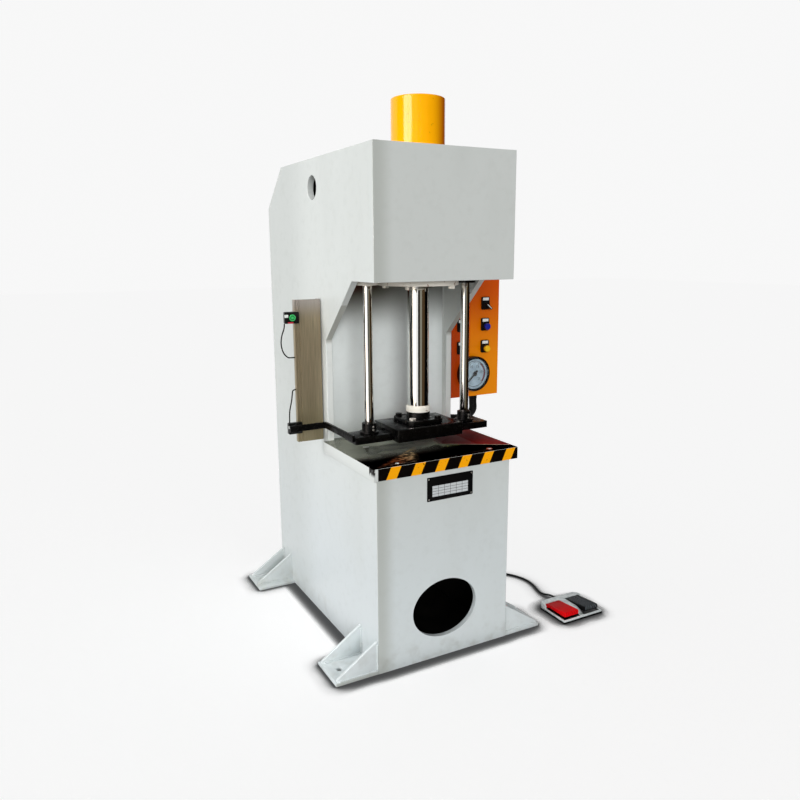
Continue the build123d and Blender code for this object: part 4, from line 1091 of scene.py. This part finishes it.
# Limit sensors
class PRESS_OT_limit_sensors(bpy.types.Operator):
    """Finishes the rail and the two sensors with their sensing faces and lamps"""

    bl_idname = "press.limit_sensors"
    bl_label = "Limit sensors"

    def execute(self, context):
        dress(anodised(), 0.0004, "sensor_rail")
        dress(moulded("sensor_abs", "#0d0e0d"), 0.0008, "limit_sensors")
        green = moulded("lens_green", "#3fc46a")
        white = moulded("lens_white", "#e8eee9")
        red = moulded("lens_red", "#c02a3a")
        x, face_y = -0.410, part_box("limit_sensors")[0].y
        bits = []
        for z in (1.279, 0.851):
            bits.append(ring(f"eye_ring_{z}", (x, face_y, z), 0.0105, 0.0022, "Y", green))
            bits.append(disc(f"eye_{z}", (x, face_y, z), 0.006, 0.002, "Y", green))
            lamp_low, lamp_high = (x - 0.030, face_y, z + 0.001), (x - 0.016, face_y + 0.004, z + 0.012)
            bits.append(soften(cuboid("lamp", lamp_low, lamp_high, white), 0.001))
        latch = cuboid("latch", (-0.428, face_y + 0.001, 1.2575), (-0.406, face_y + 0.006, 1.263), red)
        bits.append(soften(latch, 0.001))
        aside(joined("sensor_faces", bits))
        return {"FINISHED"}


# Control box
class PRESS_OT_control_box(bpy.types.Operator):
    """Finishes the box, the orange panel, the legend plates, the buttons and the selector"""

    bl_idname = "press.control_box"
    bl_label = "Control box"

    def execute(self, context):
        fine = context.scene.press_sizes.fine_edge
        dress(powder_coat(), 0.0008, "control_box")
        dress(panel_enamel(), 0.0005, "control_panel")
        black = moulded("holder_abs", "#111113")
        dress(black, 0.001, "button_holders")
        dress(moulded("button_abs_blue", "#1a2490", 0.25), fine, "button_blue")
        dress(moulded("button_abs_yellow", "#f5bd1e", 0.25), fine, "button_yellow")
        dress(moulded("button_abs_black", "#131315", 0.25), fine, "button_upper", "button_lower")
        dress(moulded("knob_abs", "#101012", 0.25), fine, "selector_knob")
        white = moulded("legend_white", "#e4e6e4", 0.4)
        face_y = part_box("control_panel")[0].y - 0.007
        half, low_z, top_z = 0.015, 0.0115, 0.0235
        legends = []
        for x, z in ((0.452, 1.304), (0.452, 1.214), (0.452, 1.119), (0.331, 1.214), (0.331, 1.119)):
            corner = (x - half, face_y - 0.0006, z + low_z)
            plate = cuboid(f"legend_{len(legends)}", corner, (x + half, face_y + 0.0002, z + top_z), white)
            legends.append(soften(plate, 0.0005))
        aside(joined("blank_legends", legends))
        knob_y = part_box("selector_knob")[0].y
        mark_low, mark_high = (-0.007, knob_y - 0.0005, -0.0014), (0.020, knob_y + 0.0004, 0.0014)
        mark = cuboid("selector_mark", mark_low, mark_high, white)
        turn = Matrix.Rotation(math.radians(40), 4, "Y")
        mark.data.transform(Matrix.Translation((0.452, 0, 1.295)) @ turn)
        aside(mark, "selector_knob")
        return {"FINISHED"}


# Pressure gauge
NEEDLE_REST, SCALE_SWEEP = 225, 270


def number(text, size, place, finish):
    """Flat figure that faces the front."""
    deselect()
    bpy.ops.object.text_add(location=(0, 0, 0))
    obj = bpy.context.object
    obj.data.body = text
    obj.data.size = size
    obj.data.align_x = "CENTER"
    obj.data.align_y = "CENTER"
    obj.data.extrude = 0.0001
    bpy.ops.object.convert(target="MESH")
    obj = bpy.context.object
    obj.data.transform(Matrix.Translation(place) @ Matrix.Rotation(math.pi / 2, 4, "X"))
    obj.data.materials.append(finish)
    return obj


def about(place, angle):
    """Moves to that place and turns about Y, in degrees up from the right."""
    return Matrix.Translation(place) @ Matrix.Rotation(-math.radians(angle), 4, "Y")


def needle_front(finish):
    """Hub and tapered blade that lie over the needle of the frame."""
    (low, high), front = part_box("gauge_case"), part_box("gauge_needle")[0].y
    middle = Vector(((low.x + high.x) / 2, front - 0.001, (low.z + high.z) / 2))
    hub = soften(disc("needle_hub", middle, 0.0095, 0.002, "Y", finish, 32), 0.0005)
    blade_low, blade_high = (-0.018, front - 0.0008, -0.0046), (0.047, front + 0.0004, 0.0046)
    blade = cuboid("needle_blade", blade_low, blade_high, finish)
    for point in blade.data.vertices:
        point.co.z *= 0.4 if point.co.x > 0 else 1
    blade.data.transform(about((middle.x, 0, middle.z), NEEDLE_REST))
    return joined("needle_front", [hub, blade])


def scale_marks(face, ink):
    """Fine and bold lines of the scale, with a figure at each bold one."""
    rim, half_deep, steps = 0.055, 0.00015, 50
    line = cuboid("scale_line", (0.047, -half_deep, -0.00035), (rim, half_deep, 0.00035), ink)
    bold = cuboid("scale_long_line", (0.044, -half_deep, -0.0007), (rim, half_deep, 0.0007), ink)
    marks = []
    for i in range(steps + 1):
        angle = NEEDLE_REST - SCALE_SWEEP * i / steps
        kind = bold if i % 10 == 0 else line
        marks.append(copy_of(kind, f"scale_mark_{i}", about(face, angle)))
        if i % 10 == 0:
            across, rise = math.cos(math.radians(angle)), math.sin(math.radians(angle))
            spot = face + Vector((0.034 * across, 0, 0.034 * rise))
            marks.append(number(str(i // 2), 0.0165, spot, ink))
    bpy.data.objects.remove(line)
    bpy.data.objects.remove(bold)
    return marks


def red_range(face, red):
    """Band of short red blocks on the right of the scale."""
    blocks, first, sweep = 26, 52, 92
    block = cuboid("red_block", (0.0480, -0.0004, -0.0016), (0.0535, 0.0004, 0.0016), red)
    band = []
    for i in range(blocks):
        angle = first - sweep * i / (blocks - 1)
        band.append(copy_of(block, f"red_{i}", about(face, angle)))
    bpy.data.objects.remove(block)
    return band


class PRESS_OT_gauge(bpy.types.Operator):
    """Finishes the pressure gauge with its scale, figures and red range"""

    bl_idname = "press.gauge"
    bl_label = "Gauge"

    def execute(self, context):
        black = start("gauge_enamel", srgb("#09090a"), Roughness=0.22, Specular_IOR_Level=0.2)[0]
        dress(black, 0.0008, "gauge_case")
        dress(dial_print(), 0, "gauge_dial")
        dress(clear_glass(), 0, "gauge_glass")
        dress(black, 0, "gauge_needle")
        aside(needle_front(black), "gauge_needle")
        low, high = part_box("gauge_dial")
        ink = moulded("scale_ink", "#1c2430", 0.5)
        red = moulded("scale_red", "#6e1526", 0.5)
        face = Vector(((low.x + high.x) / 2, low.y - CLOSE, (low.z + high.z) / 2))
        marks = scale_marks(face, ink)
        marks.append(ring("scale_circle", face, 0.0555, 0.001, "Y", ink, 96, 6))
        aside(joined("gauge_scale", marks + red_range(face, red)))
        return {"FINISHED"}


# Conduit
class PRESS_OT_conduit(bpy.types.Operator):
    """Makes the ribbed conduit from the control box to the side plate, with its nuts"""

    bl_idname = "press.conduit"
    bl_label = "Conduit"

    def execute(self, context):
        nylon = moulded("conduit_nylon", "#141414", 0.4)
        path = spline("conduit_path", CONDUIT_ROUTE, 0, None)
        rib_pitch, ribbed = context.scene.press_sizes.conduit_rib, 0.2565
        ribs = ring("conduit_ribs", (0, 0, 0), 0.0150, 0.0021, "X", nylon, 28, 8)
        row_of(ribs, int(ribbed / rib_pitch), rib_pitch)
        modify(ribs, "CURVE", object=path, deform_axis="POS_X")
        pick(path)
        path.data.bevel_depth = 0.0147
        bpy.ops.object.convert(target="MESH")
        core = bpy.context.object
        core.data.materials.append(nylon)
        nut_r, collar_r, deep = 0.020, 0.018, 0.014
        x, y, z = CONDUIT_ROUTE[0]
        top = disc("top_nut", (x, y, z + deep / 2), nut_r, deep, "Z", nylon, 6)
        top_collar = disc("top_collar", (x, y, z - 0.006), collar_r, deep, "Z", nylon, 32)
        x, y, z = CONDUIT_ROUTE[-1]
        wall = disc("wall_nut", (x - deep / 2, y, z), nut_r, deep, "X", nylon, 6)
        wall_collar = disc("wall_collar", (x + 0.006, y, z), collar_r, deep, "X", nylon, 32)
        nuts = [soften(nut, 0.001) for nut in (top, wall)]
        collars = [soften(collar, 0.0015) for collar in (top_collar, wall_collar)]
        whole = joined("ribbed_conduit", [ribs, core, *nuts, *collars])
        pick(whole)
        bpy.ops.object.shade_smooth_by_angle(angle=math.radians(35))
        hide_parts("control_conduit")
        aside(whole)
        return {"FINISHED"}


# Name plate
class PRESS_OT_name_plate(bpy.types.Operator):
    """Finishes the name plate with an empty ruled field and its rivets"""

    bl_idname = "press.name_plate"
    bl_label = "Name plate"

    def execute(self, context):
        low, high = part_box("name_plate")
        black = start("plate_enamel", srgb("#0b0c0d"), Roughness=0.3, Specular_IOR_Level=0.15)[0]
        dress(black, 0.0004, "name_plate")
        pale = moulded("plate_field", "#c9ced0", 0.35)
        ink = moulded("plate_ink", "#17181a", 0.4)
        face_y = low.y
        left, right = low.x + 0.022, high.x - 0.022
        base, top = low.z + 0.016, high.z - 0.034
        bits = [cuboid("field", (left, face_y - 0.0002, base), (right, face_y, top), pale)]
        rows, columns, half, raised = 4, 6, 0.0006, 0.0003
        for i in range(1, rows):
            z = base + (top - base) * i / rows
            bits.append(cuboid("rule", (left, face_y - raised, z - half), (right, face_y, z + half), ink))
        for i in range(1, columns):
            x = left + (right - left) * i / columns
            bits.append(cuboid("bar", (x - half, face_y - raised, base), (x + half, face_y, top), ink))
        zinc, inset = zinc_plate(), 0.007
        for x in (low.x + inset, high.x - inset):
            for z in (low.z + inset, high.z - inset):
                rivet = disc("rivet", (x, face_y - 0.0004, z), 0.0028, 0.0016, "Y", zinc, 20)
                bits.append(soften(rivet, 0.0006))
        aside(joined("plate_field", bits))
        return {"FINISHED"}


# Power pack behind the louvred cover
class PRESS_OT_power_pack(bpy.types.Operator):
    """Finishes the louvred cover with its screws, and the tank, motor, pump, valve block and pipes"""

    bl_idname = "press.power_pack"
    bl_label = "Power pack"

    def execute(self, context):
        dress(frame_enamel(), 0.0006, "rear_cover")
        low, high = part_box("rear_cover")
        face_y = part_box("back_plate")[1].y + 0.003
        zinc = zinc_plate()
        inset, end, rows = 0.008, 0.03, 4
        screws = []
        for x in (low.x + inset, high.x - inset):
            for i in range(rows):
                place = (x, face_y + 0.0015, low.z + end + (high.z - low.z - 2 * end) * i / (rows - 1))
                head = disc(f"cover_screw_{len(screws)}", place, 0.0055, 0.003, "Y", zinc, 24)
                screws.append(soften(head, 0.001))
        aside(joined("cover_screws", screws))
        dress(tank_enamel(), 0.001, "oil_tank")
        casting = cast_iron()
        dress(casting, 0.001, "motor", "pump")
        dress(turned_steel(), 0.001, "valve_block", "oil_pipes")
        paint_nodes(turned_steel(), "motor_shaft")
        return {"FINISHED"}


# Foot switch
def ribbed_abs(name, code, line_colour, node):
    """Moulded pedal top: V-shaped ribs across it, drawn as thin lines in a second tone: darker on the red
    pedal, and light grey on the black one as a painted highlight.
    """
    finish, tree, shader = start(name, srgb(code), Roughness=0.4, Specular_IOR_Level=0.05)
    low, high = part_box(node)
    rib_pitch, groove_wide, slope = 0.0125, 0.0026, 1.1
    off = add(tree, "ShaderNodeMath", {0: along(tree, "X"), 1: (low.x + high.x) / 2}, operation="SUBTRACT")
    apart = add(tree, "ShaderNodeMath", {0: off.outputs[0]}, operation="ABSOLUTE")
    slant = {0: apart.outputs[0], 1: slope, 2: along(tree, "Y")}
    slant = add(tree, "ShaderNodeMath", slant, operation="MULTIPLY_ADD")
    folded = add(tree, "ShaderNodeMath", {0: slant.outputs[0], 1: rib_pitch}, operation="FLOORED_MODULO")
    rib = add(tree, "ShaderNodeMath", {0: folded.outputs[0], 1: groove_wide}, operation="LESS_THAN")
    flat = within(tree, "X", low.x + 0.008, high.x - 0.008)
    mask = times(tree, rib.outputs[0], flat, fade(tree, "Z", 0.026, 0.0275))
    # Thin lines in their own tone; the light grey on the black pedal is a painted highlight.
    coloured(tree, shader, mixed(tree, mask, srgb(code), srgb(line_colour)))
    bumps(tree, shader, mask, 0.0006)
    return finish


def tray_aluminium():
    """Die cast aluminium tray: pale and satin, with black round each pedal."""
    finish, tree, shader = start("tray_aluminium", srgb("#e4eaea"), Metallic=0.35, Roughness=0.4)
    tone = mixed(tree, patches(tree, 0.012), srgb("#eaf0f0"), srgb("#ccd4d4"))
    wells = []
    for node in ("pedal_red", "pedal_black"):
        low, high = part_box(node)
        across = within(tree, "X", low.x - 0.006, high.x + 0.006)
        wells.append(times(tree, across, within(tree, "Y", low.y - 0.006, high.y + 0.002)))
    # Black round each pedal.
    mat = times(tree, either(tree, *wells), within(tree, "Z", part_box("pedal_base")[1].z, 0.0205))
    coloured(tree, shader, mixed(tree, mat, tone, srgb("#080808")))
    tree.links.new(times(tree, opposite(tree, mat), 0.2), shader.inputs["Metallic"])
    bumps(tree, shader, patches(tree, 0.002, 0.3, 0.7), 0.00004)
    return finish


class PRESS_OT_foot_switch(bpy.types.Operator):
    """Finishes the foot switch: base, cast tray, pin and the two pedals"""

    bl_idname = "press.foot_switch"
    bl_label = "Foot switch"

    def execute(self, context):
        dress(moulded("rubber_base", "#0a0a0a", 0.6, 0.1), 0.0008, "pedal_base")
        dress(tray_aluminium(), 0.0012, "pedal_housing")
        paint_nodes(turned_steel(), "pedal_pin")
        dress(ribbed_abs("pedal_abs_red", "#e30b12", "#93050a", "pedal_red"), 0.0009, "pedal_red")
        # Painted highlight: light grey lines on the black pedal.
        dress(ribbed_abs("pedal_abs_black", "#08090a", "#8f969c", "pedal_black"), 0.0009, "pedal_black")
        low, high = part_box("pedal_housing")
        x = (low.x + high.x) / 2
        boss = disc("tray_boss", (x, low.y + 0.013, 0.0155), 0.0075, 0.005, "Z", cast_aluminium(), 32)
        aside(soften(boss, 0.0012))
        return {"FINISHED"}


# Stage
def reflection_card(name, turn, half, low, high, code, strength):
    """Card that only reflections show: a wall away from the press, with a wedge of floor if it stands low."""
    near, reach = 0.85, 3.0
    finish, _, shader = start(name, (0, 0, 0), Roughness=1.0, Specular_IOR_Level=0.0)
    shader.inputs["Emission Color"].default_value = opaque(srgb(code))
    shader.inputs["Emission Strength"].default_value = strength
    finish.cycles.emission_sampling = "NONE"
    pieces = [cuboid(name, (-1, -reach - 0.01, low), (1, -reach, high), finish)]
    if low < 0.1:
        pieces.append(cuboid(f"{name}_mat", (-1, -reach, low), (1, -near, low + 0.0005), finish))
    for piece in pieces:
        for point in piece.data.vertices:
            point.co.x *= -point.co.y * math.tan(math.radians(half))
    card = joined(name, pieces)
    card.data.transform(Matrix.Translation((0, -0.3, 0)) @ Matrix.Rotation(math.radians(turn), 4, "Z"))
    card.visible_camera = False
    card.visible_diffuse = False
    card.visible_shadow = False
    card.visible_transmission = False
    return card


class PRESS_OT_stage(bpy.types.Operator):
    """Sets up the pale floor, the soft light and the cards that the chrome reflects"""

    bl_idname = "press.stage"
    bl_label = "Stage"

    def execute(self, context):
        deselect()
        bpy.ops.mesh.primitive_plane_add(size=60, location=(0, 0, 0))
        floor = added("studio_floor", studio_floor())
        pieces = [floor]
        cards = (
            ("dark_card", -20, 11, 0.002, 4.0, "#2b2723", 1.0),
            ("grey_card", 2, 11, 0.003, 4.0, "#858275", 1.0),
            ("brown_card", 30, 17, 0.004, 4.0, "#4a3a26", 1.0),
            ("black_card", 84, 38, 0.005, 4.0, "#020202", 1.0),
            ("strip_light", -72, 16, 0.006, 2.25, "#fff4e6", 2.5),
            ("barrel_light", -74, 19, 2.26, 4.0, "#ffeef0", 18.0),
            ("blue_card", -108, 19, 0.007, 4.0, "#161b22", 1.0),
        )
        pieces += [reflection_card(*card) for card in cards]
        unlit = bpy.data.collections.new("not_lit_by_suns")
        unlit.objects.link(floor)
        suns = (("key", (-1.0, 0.05, 0.55), 2.2), ("fill", (-0.35, -1.0, 0.25), 1.42))
        for name, direction, power in suns:
            data = bpy.data.lights.new(name, "SUN")
            data.energy = power
            data.angle = math.radians(25)
            lamp = bpy.data.objects.new(name, data)
            context.collection.objects.link(lamp)
            lamp.rotation_euler = Vector(direction).to_track_quat("Z", "Y").to_euler()
            lamp.light_linking.receiver_collection = unlit
            lamp.visible_glossy = False
            pieces.append(lamp)
        unlit.collection_objects[0].light_linking.link_state = "EXCLUDE"
        world = bpy.data.worlds.new("studio")
        world.use_nodes = True
        context.scene.world = world
        tree = world.node_tree
        tree.nodes["Background"].inputs["Color"].default_value = (1, 1, 1, 1)
        tree.links.new(seen_level(tree, 0.41, 0.935), tree.nodes["Background"].inputs["Strength"])
        context.scene.view_settings.view_transform = "Standard"
        return {"FINISHED"}


STEPS = (
    PRESS_OT_camera,
    PRESS_OT_cords,
    PRESS_OT_frame_plates,
    PRESS_OT_welds,
    PRESS_OT_work_table,
    PRESS_OT_cylinder,
    PRESS_OT_ram,
    PRESS_OT_limit_sensors,
    PRESS_OT_control_box,
    PRESS_OT_gauge,
    PRESS_OT_conduit,
    PRESS_OT_name_plate,
    PRESS_OT_power_pack,
    PRESS_OT_foot_switch,
    PRESS_OT_stage,
)


class PRESS_PT_panel(bpy.types.Panel):
    """Lists the steps that dress the press"""

    bl_label = "Hydraulic press"
    bl_idname = "PRESS_PT_panel"
    bl_space_type = "VIEW_3D"
    bl_region_type = "UI"
    bl_category = "Press"

    def draw(self, context):
        for group in (context.scene.press_sizes, context.scene.press_colours):
            for name in group.bl_rna.properties.keys():
                if name not in ("rna_type", "name"):
                    self.layout.prop(group, name)
        for operator in STEPS:
            self.layout.operator(operator.bl_idname)


CLASSES = (PressSizes, PressColours, *STEPS, PRESS_PT_panel)


def register():
    for item in CLASSES:
        bpy.utils.register_class(item)
    bpy.types.Scene.press_sizes = PointerProperty(type=PressSizes)
    bpy.types.Scene.press_colours = PointerProperty(type=PressColours)


def unregister():
    del bpy.types.Scene.press_colours
    del bpy.types.Scene.press_sizes
    for item in reversed(CLASSES):
        bpy.utils.unregister_class(item)


def main():
    register()
    for operator in STEPS:
        group, name = operator.bl_idname.split(".")
        getattr(getattr(bpy.ops, group), name)()


if __name__ == "__main__":
    main()
